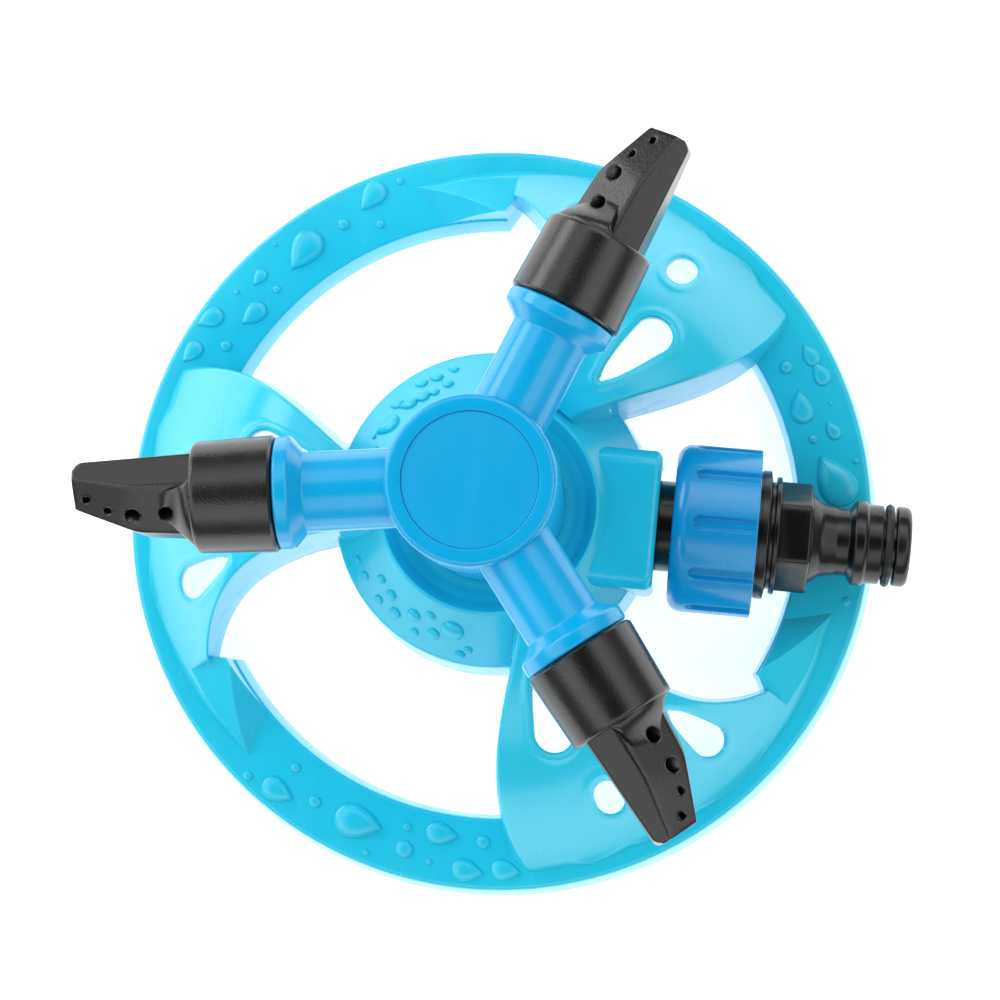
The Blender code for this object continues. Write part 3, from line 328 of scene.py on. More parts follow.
WINDOWS = (              # (tip, round end, radius, taper): with no taper it is an oval
    ((33.2, 6.6), (46.9, 8.0), 3.9, 0.5), ((45.2, 31.4), (51.5, 38.4), 3.4, 0.5),
    ((60.4, 17.0), (61.5, 17.25), 2.9, 0.0))


def lead_angle(r):
    """Leading edge, degrees: it sweeps back on both sides of its waist at 56 mm."""
    d = r - 56.0
    return -5.1 + 0.0112 * d ** 2 - 0.00007 * d ** 3


def trail_angle(r):
    """Trailing edge, degrees: nearly radial at the bell and swept towards the ring."""
    t = np.maximum(0.0, (r - 37.7) / 27.7)
    return np.minimum(33.7 + 14.5 * (0.35 * t + 0.65 * t ** 3), 50.6)


def window_distance(x, y):
    """Distance outside the nearest window, in mm: half its width grows from its tip to its round
    end with a power of the way, the square root for a drop."""
    nearest = np.full(np.shape(x), 1e3)
    for tip, end, radius, taper in WINDOWS:
        axis = np.array(end) - np.array(tip)
        t = np.clip(((x - tip[0]) * axis[0] + (y - tip[1]) * axis[1]) / (axis @ axis), 0.0, 1.0)
        away = np.hypot(x - tip[0] - t * axis[0], y - tip[1] - t * axis[1])
        nearest = np.minimum(nearest, away - radius * np.maximum(t, 0.02) ** taper)
    return nearest


def blade_top(x, y):
    """Height of a blade at (x, y), with X along its direction: an arch that falls from the bell to
    the ring, folds that fan out across it, a soft rim round each window, and the flank facets."""
    r, angle = np.hypot(x, y), np.degrees(np.arctan2(y, x))
    s = np.clip((r - BLADE_IN_R) / (BLADE_OUT_R - BLADE_IN_R), 0.0, 1.0)
    across = np.clip((angle - lead_angle(r)) / (trail_angle(r) - lead_angle(r)), 0.0, 1.0)
    arch = (1.0 - s ** ARCH_REACH) ** ARCH_POWER
    dip = 2.6 * np.maximum(0.0, 1.0 - s / 0.12) ** 2
    lift = BLADE_PITCH * np.maximum(0.0, np.sin(math.pi * s / 0.9)) * across
    fold = np.interp(across, FOLD_PLACES, FOLD_HEIGHTS) * np.clip((s - 0.25) / 0.6, 0.0, 1.0)
    z = RING_H + (BLADE_TOP_Z - RING_H) * arch - dip + lift + fold
    boundary = np.interp(angle, FACET_TURNS, FACET_RADII)
    z = np.minimum(z, RING_H + FLANK_SLOPE * (boundary - r))
    out = window_distance(x, y)
    z = z + WINDOW_LIP * np.exp(-((out - LIP_AT) / LIP_WIDTH) ** 2)
    near = np.clip(WINDOW_ROUND - out, 0.0, WINDOW_ROUND)
    return z - (WINDOW_ROUND - np.sqrt(np.maximum(WINDOW_ROUND ** 2 - near ** 2, 0.0)))


SKIRT_FREE_R, SKIRT_FREE_Z, SKIRT_RISE = 31.2, 9.0, 10.0   # where a side wall leaves the bell


def skirt_low(r, top):
    """Lower edge of a side wall: in the bell's sloping wall near the axis, then an arch that comes
    down to just under the ring's top."""
    cone = 37.8 - 1.188 * (r - 22.3)
    t = (r - SKIRT_FREE_R) / (RING_IN_R - SKIRT_FREE_R)
    free = SKIRT_FREE_Z + SKIRT_RISE * np.maximum(0.0, 1.0 - t)
    return np.minimum(np.where(r < SKIRT_FREE_R, cone, free), top - BLADE_WALL - 0.4)


STATIONS, COLUMNS = 170, 150
station_r = np.linspace(BLADE_IN_R, BLADE_END_R, STATIONS)[:, None]
edge_turn = np.degrees(EDGE_BAND / station_r)
share = np.linspace(0.0, 1.0, COLUMNS)[None, :]
first, last = lead_angle(station_r) + edge_turn, trail_angle(station_r) - edge_turn
sheet_angle = np.radians(first + (last - first) * share)
sheet_x, sheet_y = station_r * np.cos(sheet_angle), station_r * np.sin(sheet_angle)

# Cells inside a window go, and the points along its outline slide onto it.
cell_x = (sheet_x[:-1, :-1] + sheet_x[1:, 1:]) / 2.0
cell_y = (sheet_y[:-1, :-1] + sheet_y[1:, 1:]) / 2.0
kept = window_distance(cell_x, cell_y) > 0.0
padded = np.pad(kept, 1, constant_values=True)
some_gone = ~(padded[:-1, :-1] & padded[1:, :-1] & padded[:-1, 1:] & padded[1:, 1:])
some_kept = padded[:-1, :-1] | padded[1:, :-1] | padded[:-1, 1:] | padded[1:, 1:]
on_outline = some_gone & some_kept
for _ in range(3):
    away = window_distance(sheet_x, sheet_y)
    slope_x = (window_distance(sheet_x + 0.05, sheet_y) - window_distance(sheet_x - 0.05, sheet_y)) / 0.1
    slope_y = (window_distance(sheet_x, sheet_y + 0.05) - window_distance(sheet_x, sheet_y - 0.05)) / 0.1
    steep = np.maximum(slope_x ** 2 + slope_y ** 2, 0.2)
    sheet_x = np.where(on_outline, sheet_x - away * slope_x / steep, sheet_x)
    sheet_y = np.where(on_outline, sheet_y - away * slope_y / steep, sheet_y)
sheet_top = blade_top(sheet_x, sheet_y)

# An edge, from the sheet outwards: flat strip, fillet, outer face, lip, and inner face.
turned = np.radians(np.linspace(0.0, 90.0, 6))
strip = [(EDGE_BAND * 0.75, 0.0), (EDGE_BAND * 0.5, 0.0)]
strip += [(EDGE_FILLET * (1.0 - math.sin(a)), EDGE_FILLET * (1.0 - math.cos(a))) for a in turned]


def blade_edge(edge_angle, side):
    """Points (stations x places) down one edge; side is +1 for the trailing edge and -1 for the
    leading one. The wall leans out by the flare towards its lower edge."""
    def at(inset, z):
        angle = np.radians(edge_angle) - side * inset / station_r
        return np.concatenate([station_r * np.cos(angle), station_r * np.sin(angle), z], axis=1)

    def top_at(inset):
        angle = np.radians(edge_angle) - side * inset / station_r
        return blade_top(station_r * np.cos(angle), station_r * np.sin(angle))

    rows = [at(inset, top_at(inset) - drop) for inset, drop in strip]
    brow = top_at(0.0)
    low_z = skirt_low(station_r, brow)
    for t in (0.25, 0.5, 0.75, 0.96):
        rows.append(at(-EDGE_FLARE * t, (brow - EDGE_FILLET) * (1.0 - t) + low_z * t))
    rows.append(at(-EDGE_FLARE + 0.25, low_z))
    rows.append(at(-EDGE_FLARE + BLADE_WALL - 0.25, low_z))
    rows.append(at(-EDGE_FLARE + BLADE_WALL, low_z + 0.25))
    rows.append(at(BLADE_WALL, np.maximum(brow - BLADE_WALL, low_z + 0.3)))
    return np.stack(rows, axis=1)


trail_side = blade_edge(trail_angle(station_r), 1.0)
lead_side = blade_edge(lead_angle(station_r), -1.0)
top_rows = np.stack([sheet_x, sheet_y, sheet_top], axis=-1)
low_rows = np.stack([sheet_x, sheet_y, sheet_top - BLADE_WALL], axis=-1)
blade_points = np.concatenate([top_rows, trail_side, low_rows[:, ::-1], lead_side[:, ::-1]], axis=1)
loop = blade_points.shape[1]
blade_quads = grid_quads(STATIONS, loop, False, True).reshape(STATIONS - 1, loop, 4)
alive = np.ones((STATIONS - 1, loop), bool)
low_start = COLUMNS + trail_side.shape[1]
alive[:, :COLUMNS - 1] = kept
alive[:, low_start:low_start + COLUMNS - 1] = kept[:, ::-1]


def twin(column):
    """Place in the loop of the point under a column of the sheet."""
    return low_start + COLUMNS - 1 - column


def window_walls():
    """Quads between the sheet's two faces along the windows' outlines, wherever one of two
    neighbouring cells is kept and the other is not."""
    i, j = np.nonzero(kept[:, :-1] != kept[:, 1:])
    j = j + 1
    along = [i * loop + j, (i + 1) * loop + j, (i + 1) * loop + twin(j), i * loop + twin(j)]
    i2, j2 = np.nonzero(kept[:-1, :] != kept[1:, :])
    i2 = i2 + 1
    round_it = [i2 * loop + j2, i2 * loop + j2 + 1, i2 * loop + twin(j2 + 1), i2 * loop + twin(j2)]
    return np.concatenate([np.stack(along, axis=1), np.stack(round_it, axis=1)])


def spin(points, degrees):
    """Points turned about the rotor's axis."""
    c, s = math.cos(math.radians(degrees)), math.sin(math.radians(degrees))
    x, y = points[..., 0], points[..., 1]
    return np.stack([c * x - s * y, s * x + c * y, points[..., 2]], axis=-1)


def end_caps(rows, columns):
    """Quads that close both ends of a tube of sections, each section folded flat on itself."""
    half = columns // 2
    j = np.arange(half - 1)
    first = np.stack([j, j + 1, columns - 2 - j, columns - 1 - j], axis=1)
    return np.concatenate([first, first + (rows - 1) * columns])


blade_faces = np.concatenate([blade_quads[alive], window_walls(), end_caps(STATIONS, loop)])
for number in range(BLADES):
    facing = BLADE_FIRST + number * 360.0 / BLADES
    blade = make_mesh(f"base_blade_{number + 1}", spin(blade_points, facing), blade_faces, cyan, 24.0)
    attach(blade, "base")


# ---------------------------------------------------------------- base: the wedges on the ring
# Behind its notch, each blade's facets run on over the ring as a low wedge with a pointed end. It
# is part of the same moulding, with three flat faces: a broad one, the flank and the end.
WEDGE_TOP = 19.0         # height at the notch's spike
WEDGE_FALL_OUT, WEDGE_FALL_ALONG = 0.75, 0.11
WEDGE_POINT_TURN, WEDGE_POINT_R = 67.3, 72.5
WEDGE_END_TURN, WEDGE_END_R = 64.0, 64.3
WEDGE_END_SLOPE = 0.78
WEDGE_LAST_TURN, WEDGE_LAST_R = 69.0, 76.0
WEDGE_MID_R = 70.0       # turns count as lengths at this radius

wedge_r = np.linspace(RING_IN_R + 0.35, WEDGE_LAST_R, 60)[:, None]
up_notch = np.clip((wedge_r - SPIKE_R) / (NOTCH_R - SPIKE_R), 0.0, 1.0)
start_turn = NOTCH_END - up_notch * (NOTCH_END - NOTCH_START)
wedge_turn = start_turn + (WEDGE_LAST_TURN - start_turn) * np.linspace(0.0, 1.0, 110)[None, :]
way, out = np.radians(wedge_turn - NOTCH_END) * WEDGE_MID_R, wedge_r - SPIKE_R + 0.0 * wedge_turn
point_at = np.array((math.radians(WEDGE_POINT_TURN - NOTCH_END) * WEDGE_MID_R, WEDGE_POINT_R - SPIKE_R))
end_at = np.array((math.radians(WEDGE_END_TURN - NOTCH_END) * WEDGE_MID_R, WEDGE_END_R - SPIKE_R))
end_line = (point_at - end_at) / np.linalg.norm(point_at - end_at)
broad = WEDGE_TOP - WEDGE_FALL_OUT * out - WEDGE_FALL_ALONG * way
flank = RING_H + FLANK_SLOPE * (np.interp(wedge_turn, FACET_TURNS, FACET_RADII) - wedge_r)
end = RING_H + WEDGE_END_SLOPE * ((end_at[0] - way) * end_line[1] + (out - end_at[1]) * end_line[0])
wedge_z = np.maximum(np.minimum(np.minimum(broad, flank), end), RING_H - 0.4)
wedge_a = np.radians(wedge_turn)
wedge_top = np.stack([wedge_r * np.cos(wedge_a), wedge_r * np.sin(wedge_a), wedge_z], axis=-1)
wedge_low = wedge_top * (1.0, 1.0, 0.0) + (0.0, 0.0, RING_H - 1.5)
wedge_rows, wedge_columns = wedge_z.shape
wedge_quads = grid_quads(wedge_rows, wedge_columns)
edge = np.concatenate([np.arange(wedge_columns),
                       np.arange(1, wedge_rows) * wedge_columns + wedge_columns - 1,
                       (wedge_rows - 1) * wedge_columns + np.arange(wedge_columns - 1)[::-1],
                       np.arange(wedge_rows - 1)[::-1][:-1] * wedge_columns])
after = np.roll(edge, -1)
count = wedge_rows * wedge_columns
wedge_faces = np.concatenate([wedge_quads, wedge_quads + count,
                              np.stack([edge, after, after + count, edge + count], axis=1)])
wedge_points = np.concatenate([wedge_top.reshape(-1, 3), wedge_low.reshape(-1, 3)])
for number in range(BLADES):
    facing = BLADE_FIRST + number * 360.0 / BLADES
    wedge = make_mesh(f"base_wedge_{number + 1}", spin(wedge_points, facing), wedge_faces, cyan, 12.0)
    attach(wedge, "base")


# ---------------------------------------------------------------- base: bell and inlet boss
# The bell is a cone with a bowl sunk in its top, where the rotor's hub sits; its rim is a round
# lip. The boss is an arch over the inlet, moulded on the bell's side with rounded ends.
BELL_RIM_R, BELL_TOP_Z, BELL_LIP = 22.3, 40.0, 0.6
SHOULDER_R, SHOULDER_Z = 32.4, 28.0
BELL_FOOT_R, BELL_FOOT_Z, BELL_WALL = 33.7, 11.0, 2.4
BOWL_FLOOR, BOWL_UNDER = 35.0, 31.5
bell_outline = rounded([
    (9.3, BOWL_UNDER, 0.0), (9.3, BOWL_FLOOR, 0.4), (17.0, BOWL_FLOOR + 0.3, 3.0),
    (19.6, BOWL_FLOOR + 2.0, 2.5), (BELL_RIM_R - BELL_LIP, BELL_TOP_Z, 0.4),
    (BELL_RIM_R, BELL_TOP_Z - 0.4, 0.3), (SHOULDER_R, SHOULDER_Z, 2.4), (BELL_FOOT_R, BELL_FOOT_Z, 0.4),
    (BELL_FOOT_R - BELL_WALL, BELL_FOOT_Z, 0.4), (SHOULDER_R - BELL_WALL, SHOULDER_Z - 1.6, 1.5),
    (BELL_RIM_R + 0.2, BOWL_UNDER, 0.8)], steps=8)
bell = make_mesh("base_bell", *lathe(bell_outline, 240), cyan)

# The boss is a tube of box-like sections, outer face and tunnel joined at its outer end. It starts
# along the bell's own surface, and each of its rings is level from side to side.
INLET_Z = 23.5
BOSS_R, BOSS_WALL, BOSS_END, BOSS_CORNER = 14.2, 1.6, 33.9, 3.6
TUNNEL_START = 24.5
EDGE_ROUND = 1.5
boss_side = rounded([(BOSS_R, BELL_FOOT_Z - INLET_Z, 0.0), (BOSS_R, BOSS_R, BOSS_CORNER),
                     (0.0, BOSS_R, 0.0)], False, 12)
straight = np.linspace(0.0, 1.0, 24)[:, None]
boss_side = np.concatenate([boss_side[0] + (boss_side[1] - boss_side[0]) * straight[:-1], boss_side[1:-1],
                            boss_side[-2] + (boss_side[-1] - boss_side[-2]) * straight[1:]])
outer_y = np.concatenate([boss_side[:, 0], -boss_side[-2::-1, 0]])
outer_z = np.concatenate([boss_side[:, 1], boss_side[-2::-1, 1]])
bell_at = BELL_RIM_R + ((BELL_TOP_Z - INLET_Z - outer_z) * (SHOULDER_R - BELL_RIM_R)
                        / (BELL_TOP_Z - SHOULDER_Z))
bell_at = np.minimum(bell_at, SHOULDER_R) - 1.0
start_x = np.sqrt(np.maximum(bell_at ** 2 - outer_y ** 2, 0.0))
inner_r = BOSS_R - BOSS_WALL
inner_y = np.clip(outer_y, -inner_r, inner_r)
arch_turn = np.arctan2(np.maximum(outer_z, 0.0), outer_y)
inner_y = np.where(outer_z > 0.0, inner_r * np.cos(arch_turn), inner_y)
inner_z = np.where(outer_z > 0.0, inner_r * np.sin(arch_turn), outer_z)
boss_rings = [np.stack([start_x, outer_y, outer_z], axis=-1)]
boss_rings += [np.stack([start_x + (BOSS_END - EDGE_ROUND - start_x) * t, outer_y, outer_z], axis=-1)
               for t in (0.25, 0.5, 0.75)]
for turned_by in np.radians(np.linspace(0.0, 90.0, 8)):
    shrink = 1.0 - EDGE_ROUND * (1.0 - math.cos(turned_by)) / BOSS_R
    x = np.full(len(outer_y), BOSS_END - EDGE_ROUND * (1.0 - math.sin(turned_by)))
    z = np.where(outer_z > 0.0, outer_z * shrink, outer_z)
    boss_rings.append(np.stack([x, outer_y * shrink, z], axis=-1))
for x in np.linspace(BOSS_END, TUNNEL_START, len(boss_rings)):
    boss_rings.append(np.stack([np.full(len(inner_y), x), inner_y, inner_z], axis=-1))
boss_points = np.stack(boss_rings) + (0.0, 0.0, INLET_Z)
boss_rows, boss_columns = boss_points.shape[:2]
k = np.arange(boss_rows // 2 - 1)
foot = np.stack([k, k + 1, boss_rows - 2 - k, boss_rows - 1 - k], axis=1) * boss_columns
boss_quads = np.concatenate([grid_quads(boss_rows, boss_columns, True), foot, foot + boss_columns - 1])
boss = make_mesh("base_boss", boss_points, boss_quads, cyan)
for piece in (bell, boss):
    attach(piece, "base")


# ---------------------------------------------------------------- base: raised drops
# Raised water drops are moulded on the ring between the blades and on the bell's cone. Each is a
# low dome, round or drawn out to a tail, and sits slightly into the surface below it.
RING_DROPS = (           # (direction, radius, size, tail's direction from outward; None is round)
    (131.0, 71.1, 8.2, 110.0), (116.6, 74.3, 6.1, 120.0), (123.1, 71.3, 2.5, None), (117.2, 67.9, 1.9, None),
    (134.5, 76.0, 1.1, None), (111.6, 75.3, 1.7, None), (140.0, 72.9, 3.4, 100.0), (144.5, 74.4, 1.3, None),
    (139.4, 68.4, 1.7, None), (150.4, 75.2, 5.1, 60.0), (145.3, 68.4, 5.3, 80.0), (156.7, 74.8, 4.6, 75.0),
    (153.0, 69.1, 2.5, None), (32.4, 74.2, 4.4, 95.0), (28.9, 74.4, 4.6, 95.0),
    (32.6, 68.5, 2.9, None), (24.8, 68.0, 6.1, 80.0), (23.9, 74.1, 1.1, None), (19.5, 72.8, 3.8, 110.0),
    (18.9, 68.3, 1.9, None), (10.9, 71.4, 9.7, 115.0), (13.9, 76.1, 1.3, None), (351.3, 75.2, 1.9, None),
    (231.2, 76.0, 2.1, None), (236.4, 68.0, 2.1, None), (236.2, 74.2, 6.1, 100.0), (242.5, 71.4, 2.7, None),
    (250.4, 70.8, 8.8, 100.0), (259.0, 68.0, 1.9, None), (259.5, 72.6, 3.8, None), (265.1, 67.7, 5.9, 90.0),
    (253.9, 75.9, 1.3, None), (264.0, 73.9, 1.5, None), (272.7, 68.4, 2.9, None), (270.2, 74.6, 5.7, 85.0),
    (276.4, 74.2, 5.3, 80.0))
BELL_DROPS = (           # (direction, radius, size, tail)
    (118.0, 29.0, 2.7, 60.0), (114.5, 26.6, 2.5, 40.0), (124.5, 29.3, 2.6, 60.0), (127.0, 26.3, 3.0, 60.0),
    (121.5, 26.0, 2.2, 50.0), (133.5, 26.8, 3.4, 60.0), (137.5, 28.6, 2.8, 50.0), (146.5, 26.7, 5.0, 60.0),
    (154.0, 28.0, 1.1, None), (110.5, 29.6, 2.2, 50.0), (158.0, 26.2, 1.0, None),
    (206.5, 29.3, 1.7, None), (213.5, 29.3, 2.1, None), (219.0, 26.6, 2.0, None), (224.3, 29.6, 2.1, None),
    (227.0, 27.0, 2.4, None), (232.9, 29.0, 2.6, None), (240.0, 27.0, 3.0, None), (243.5, 29.7, 1.9, None),
    (247.0, 25.4, 2.2, None), (250.9, 28.3, 2.8, None), (258.5, 26.4, 4.8, None), (266.0, 29.4, 2.0, None),
    (263.0, 30.6, 2.3, None))
DROP_ROUND, DROP_RINGS = 40, 9


def drop_shape(size, tail):
    """A drop on the plane, size across: rings of points that shrink to its middle. The outline is
    (cos a, sin a), and for a tail it narrows with the sine of half the angle from the tail."""
    around = np.linspace(0.0, 2.0 * math.pi, DROP_ROUND, endpoint=False)[None, :]
    ring_share = np.sin(np.linspace(0.0, math.pi / 2.0, DROP_RINGS))[::-1][:, None]
    half = size / 2.0
    height = (0.27 * half + 0.22) * np.sqrt(np.maximum(1.0 - ring_share ** 2.4, 0.0))
    if tail is None:
        x, y = half * ring_share * np.cos(around), half * ring_share * np.sin(around)
    else:
        x = half * ring_share * (1.22 * np.cos(around) + 0.10)
        y = half * ring_share * 1.06 * np.sin(around) * np.sin(around / 2.0) ** 0.9
    turn_by = math.radians(tail or 0.0)
    c, s = math.cos(turn_by), math.sin(turn_by)
    return c * x - s * y, s * x + c * y, height + 0.0 * x


def add_drops(name, drops, lay):
    """All drops of one surface as one mesh; lay takes a drop's place and its plane points to 3-D.
    The last ring of each is the dome's middle, and one more point under it closes the base."""
    all_points, all_quads, offset = [], [], 0
    for direction, radius, size, tail in drops:
        x, y, height = drop_shape(size, tail)
        under = np.zeros((1, DROP_ROUND))
        x, y = np.concatenate([under, x]), np.concatenate([under, y])
        height = np.concatenate([under - 0.3, height])
        height[1] = -0.3
        all_points.append(lay(direction, radius, x, y, height).reshape(-1, 3))
        all_quads.append(grid_quads(DROP_RINGS + 1, DROP_ROUND, False, True) + offset)
        offset += (DROP_RINGS + 1) * DROP_ROUND
    piece = make_mesh(name, np.concatenate(all_points), np.concatenate(all_quads), cyan, 60.0)
    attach(piece, "base")


def lay_on_ring(direction, radius, x, y, height):
    """The plane's X points outward at the drop's direction, and its Z up from the ring's top."""
    return spin(np.stack([radius + x, y, RING_H + height], axis=-1), direction)


def lay_on_cone(direction, radius, x, y, height):
    """The plane is rolled round the bell's cone: X runs down the slope and Y round it."""
    fall = (SHOULDER_Z - BELL_TOP_Z) / (SHOULDER_R - BELL_RIM_R)
    lean = math.atan(-fall)
    r = radius + x * math.cos(lean) + height * math.sin(lean)
    z = BELL_TOP_Z + fall * (radius - BELL_RIM_R) - x * math.sin(lean) + height * math.cos(lean)
    a = y / radius
    return spin(np.stack([r * np.cos(a), r * np.sin(a), z], axis=-1), direction)


add_drops("base_ring_drops", RING_DROPS, lay_on_ring)
add_drops("base_bell_drops", BELL_DROPS, lay_on_cone)


# ---------------------------------------------------------------- rotor: hub, cap disc and arms
# The rotor is one glossy blue moulding: a drum with a skirt that hangs into the bowl and three
# tubes, each ending in a conical collar. A separate disc is pressed into the drum's top.
blue = moulded("rotor_blue", linear(2, 167, 226), linear(4, 173, 231), 0.20, (1300.0, 0.003), 0.08,
               coat=0.12, glow=0.05)
disc_blue = moulded("disc_blue", linear(2, 165, 225), linear(4, 170, 229), 0.28, (2600.0, 0.008), 0.10,
                    coat=0.05, glow=0.05)
HUB_TOP, HUB_R, HUB_SKIRT_R, HUB_FOOT = 90.0, 16.0, 15.4, 36.6
DISC_R, DISC_SINK, DISC_T, DISC_GAP = 12.7, 0.35, 2.8, 0.03
ARM_Z, ARM_R, ARM_BORE = 81.6, 7.5, 4.4
CHAMBER_R, CHAMBER_FLOOR = 11.2, 72.7
BARREL_R, BARREL_BORE, BARREL_FOOT = 10.1, 8.0, 50.8
BUSH_TOP, POST_HOLE_R = 72.1, 5.5
COLLAR_R, COLLAR_END, COLLAR_L = 10.6, 36.2, 5.2
SPIGOT_R, SPIGOT_END = 7.0, 45.7
SEAL_FROM, SEAL_TO, SEAL_BED_R = 41.6, 43.8, SPIGOT_R - 1.3
ARM_START = 13.0
ARMS, ARM_FIRST = 3, 67.8

ledge = HUB_TOP - DISC_SINK - DISC_T - 0.3
hub_outline = rounded([
    (DISC_R + DISC_GAP, HUB_TOP, 0.2), (HUB_R, HUB_TOP, 1.1), (HUB_R, CHAMBER_FLOOR - 1.0, 0.4),
    (HUB_SKIRT_R, CHAMBER_FLOOR - 1.7, 0.4), (HUB_SKIRT_R, HUB_FOOT, 0.5),
    (HUB_SKIRT_R - 2.1, HUB_FOOT, 0.5), (HUB_SKIRT_R - 2.1, CHAMBER_FLOOR - 3.2, 1.0),
    (BARREL_R, CHAMBER_FLOOR - 3.2, 1.0), (BARREL_R, BARREL_FOOT, 0.4), (BARREL_BORE, BARREL_FOOT, 0.3),
    (BARREL_BORE, BUSH_TOP, 0.0), (POST_HOLE_R, BUSH_TOP, 0.0), (POST_HOLE_R, CHAMBER_FLOOR, 0.0),
    (CHAMBER_R, CHAMBER_FLOOR, 0.5), (CHAMBER_R, ledge, 0.0), (DISC_R + DISC_GAP, ledge, 0.0)])
hub = make_mesh("rotor_hub_drum", *lathe(hub_outline, 288), blue)
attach(hub, "rotor")
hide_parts("rotor_hub")

disc_top = HUB_TOP - DISC_SINK
disc_outline = rounded([(0.0, disc_top - DISC_T, 0.0), (DISC_R, disc_top - DISC_T, 0.2),
                        (DISC_R, disc_top, 0.15), (0.0, disc_top, 0.0)], False)
disc = make_mesh("rotor_disc", *lathe(disc_outline, 240, False), disc_blue)
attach(disc, "rotor")
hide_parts("hub_cap")


def along_arm(number, side, rise, way):
    """Points in an arm's own directions (towards the anticlockwise side, up, outward along its
    axis) as points round the rotor's axis."""
    points = np.stack(np.broadcast_arrays(way, side, ARM_Z + rise), axis=-1).astype(float)
    return spin(points, ARM_FIRST + number * 360.0 / ARMS)


arm_outline = rounded([
    (ARM_BORE, ARM_START, 0.0), (ARM_R, ARM_START, 0.0), (ARM_R, COLLAR_END - COLLAR_L, 0.7),
    (COLLAR_R, COLLAR_END - 2.7, 1.0), (COLLAR_R, COLLAR_END, 0.6), (SPIGOT_R, COLLAR_END, 0.0),
    (SPIGOT_R, SEAL_FROM, 0.0), (SEAL_BED_R, SEAL_FROM, 0.0), (SEAL_BED_R, SEAL_TO, 0.0),
    (SPIGOT_R, SEAL_TO, 0.0), (SPIGOT_R, SPIGOT_END, 0.3), (ARM_BORE, SPIGOT_END, 0.3)])
ARM_STEPS = 192
PARTING_AT = math.radians(63.0)     # the mould's parting lines, from the arm's top
PARTING_RISE, PARTING_HALF = 0.09, 0.022
around = np.linspace(0.0, 2.0 * math.pi, ARM_STEPS, endpoint=False)[:, None]
from_top = np.abs((around + math.pi) % (2.0 * math.pi) - math.pi)
seam = PARTING_RISE * np.exp(-((from_top - PARTING_AT) / PARTING_HALF) ** 2)
arm_radius, arm_way = arm_outline[:, 0][None, :], arm_outline[:, 1][None, :]
on_tube = np.where((arm_radius > ARM_BORE + 0.1) & (arm_way < COLLAR_END), 1.0, 0.0)
arm_radius = arm_radius + on_tube * seam
for number in range(ARMS):
    places = along_arm(number, arm_radius * np.sin(around), arm_radius * np.cos(around), arm_way)
    arm = make_mesh(f"rotor_arm_{number + 1}", places,
                    grid_quads(ARM_STEPS, len(arm_outline), True, True), blue)
    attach(arm, "rotor")


# ---------------------------------------------------------------- nozzle caps
# A black grained cap snaps over each spigot and runs out in a flat bill. The bill's top has three
# faces: a flat one let into the cap, the one with two large jets, and a chamfer with two fine jets.
nozzle_black = moulded("nozzle_black", linear(8, 8, 8), linear(11, 11, 11), 0.24, (2300.0, 0.040), 0.06,
                       specular=0.75)
CAP_R, CAP_END_R, CAP_START, CAP_FACE, CAP_EDGE = 10.95, 10.4, 36.5, 51.7, 0.8
BILL_END = 74.5
RIDGE_SIDE, RIDGE_TOP, RIDGE_BREAK = -2.0, 6.6, 63.0   # ridge: side, height at the cap, where it bends
BILL_OUT, BILL_UNDER = 7.2, 5.2
RAMP = 6.5               # on the jets' side the cap runs down into the bill over this length
RAMP_START, RAMP_RISE_TURN = 0.30, 0.16  # radians: where the ramp starts, and its first flank
RAMP_STOP, RAMP_FALL_TURN = 1.50, 0.5
TIP_ROUND = 0.6
FACE_POWER = 34.0        # how sharply the bill's faces meet
JETS = (                 # (along, side, radius)
    (56.9, 3.2, 1.4), (63.4, 3.2, 1.4), (68.1, 2.0, 0.7), (72.0, -0.4, 0.7))
JET_LEAN = math.radians(30.0)
JET_DEPTH, JET_WALL = 2.6, 0.10
MOUTH_DEPTH, MOUTH_WIDTH = 0.16, 0.35
AROUND, CAP_ROWS, FACE_ROWS, BILL_ROWS = 400, 34, 24, 110


def plane_through(a, b, c):
    """A plane as (normal, distance), through three points (side, rise, way), facing up."""
    a, b, c = np.array(a), np.array(b), np.array(c)
    normal = np.cross(b - a, c - a)
    normal = normal / np.linalg.norm(normal) * (1.0 if normal[1] > 0.0 else -1.0)
    return normal, float(normal @ a)


def plane_facing(side, rise, way, point):
    """A plane as (normal, distance) through a point, with a given normal."""
    normal = np.array((side, rise, way), float) / math.sqrt(side ** 2 + rise ** 2 + way ** 2)
    return normal, float(normal @ np.array(point))


bend = (RIDGE_SIDE - 0.2, RIDGE_TOP - 1.1, RIDGE_BREAK)
BILL_FACES = (
    plane_through((RIDGE_SIDE, RIDGE_TOP, CAP_FACE), bend, (-6.6, RIDGE_TOP - 2.2, RIDGE_BREAK)),
    plane_through((RIDGE_SIDE, RIDGE_TOP, CAP_FACE), bend, (6.0, RIDGE_TOP - 5.3, RIDGE_BREAK)),
    plane_through(bend, (-4.4, RIDGE_TOP - 2.7, 74.4), (5.9, RIDGE_TOP - 5.3, 65.0)),
    plane_facing(-1.0, 0.05, 0.03, (-BILL_OUT - 0.9, 0.0, CAP_FACE)),
    plane_facing(-1.0, 0.2, 1.0, (-BILL_OUT - 0.3, 0.0, 73.6)),
    plane_facing(1.0, 0.06, 0.09, (BILL_OUT, 0.0, CAP_FACE)),
    plane_facing(1.0, 0.0, 0.42, (5.9, 0.0, 63.4)),
    plane_facing(0.0, -1.0, 0.0, (0.0, -BILL_UNDER, CAP_FACE)),
    plane_facing(0.0, -1.0, 0.21, (0.0, -BILL_UNDER + 0.1, 62.0)))


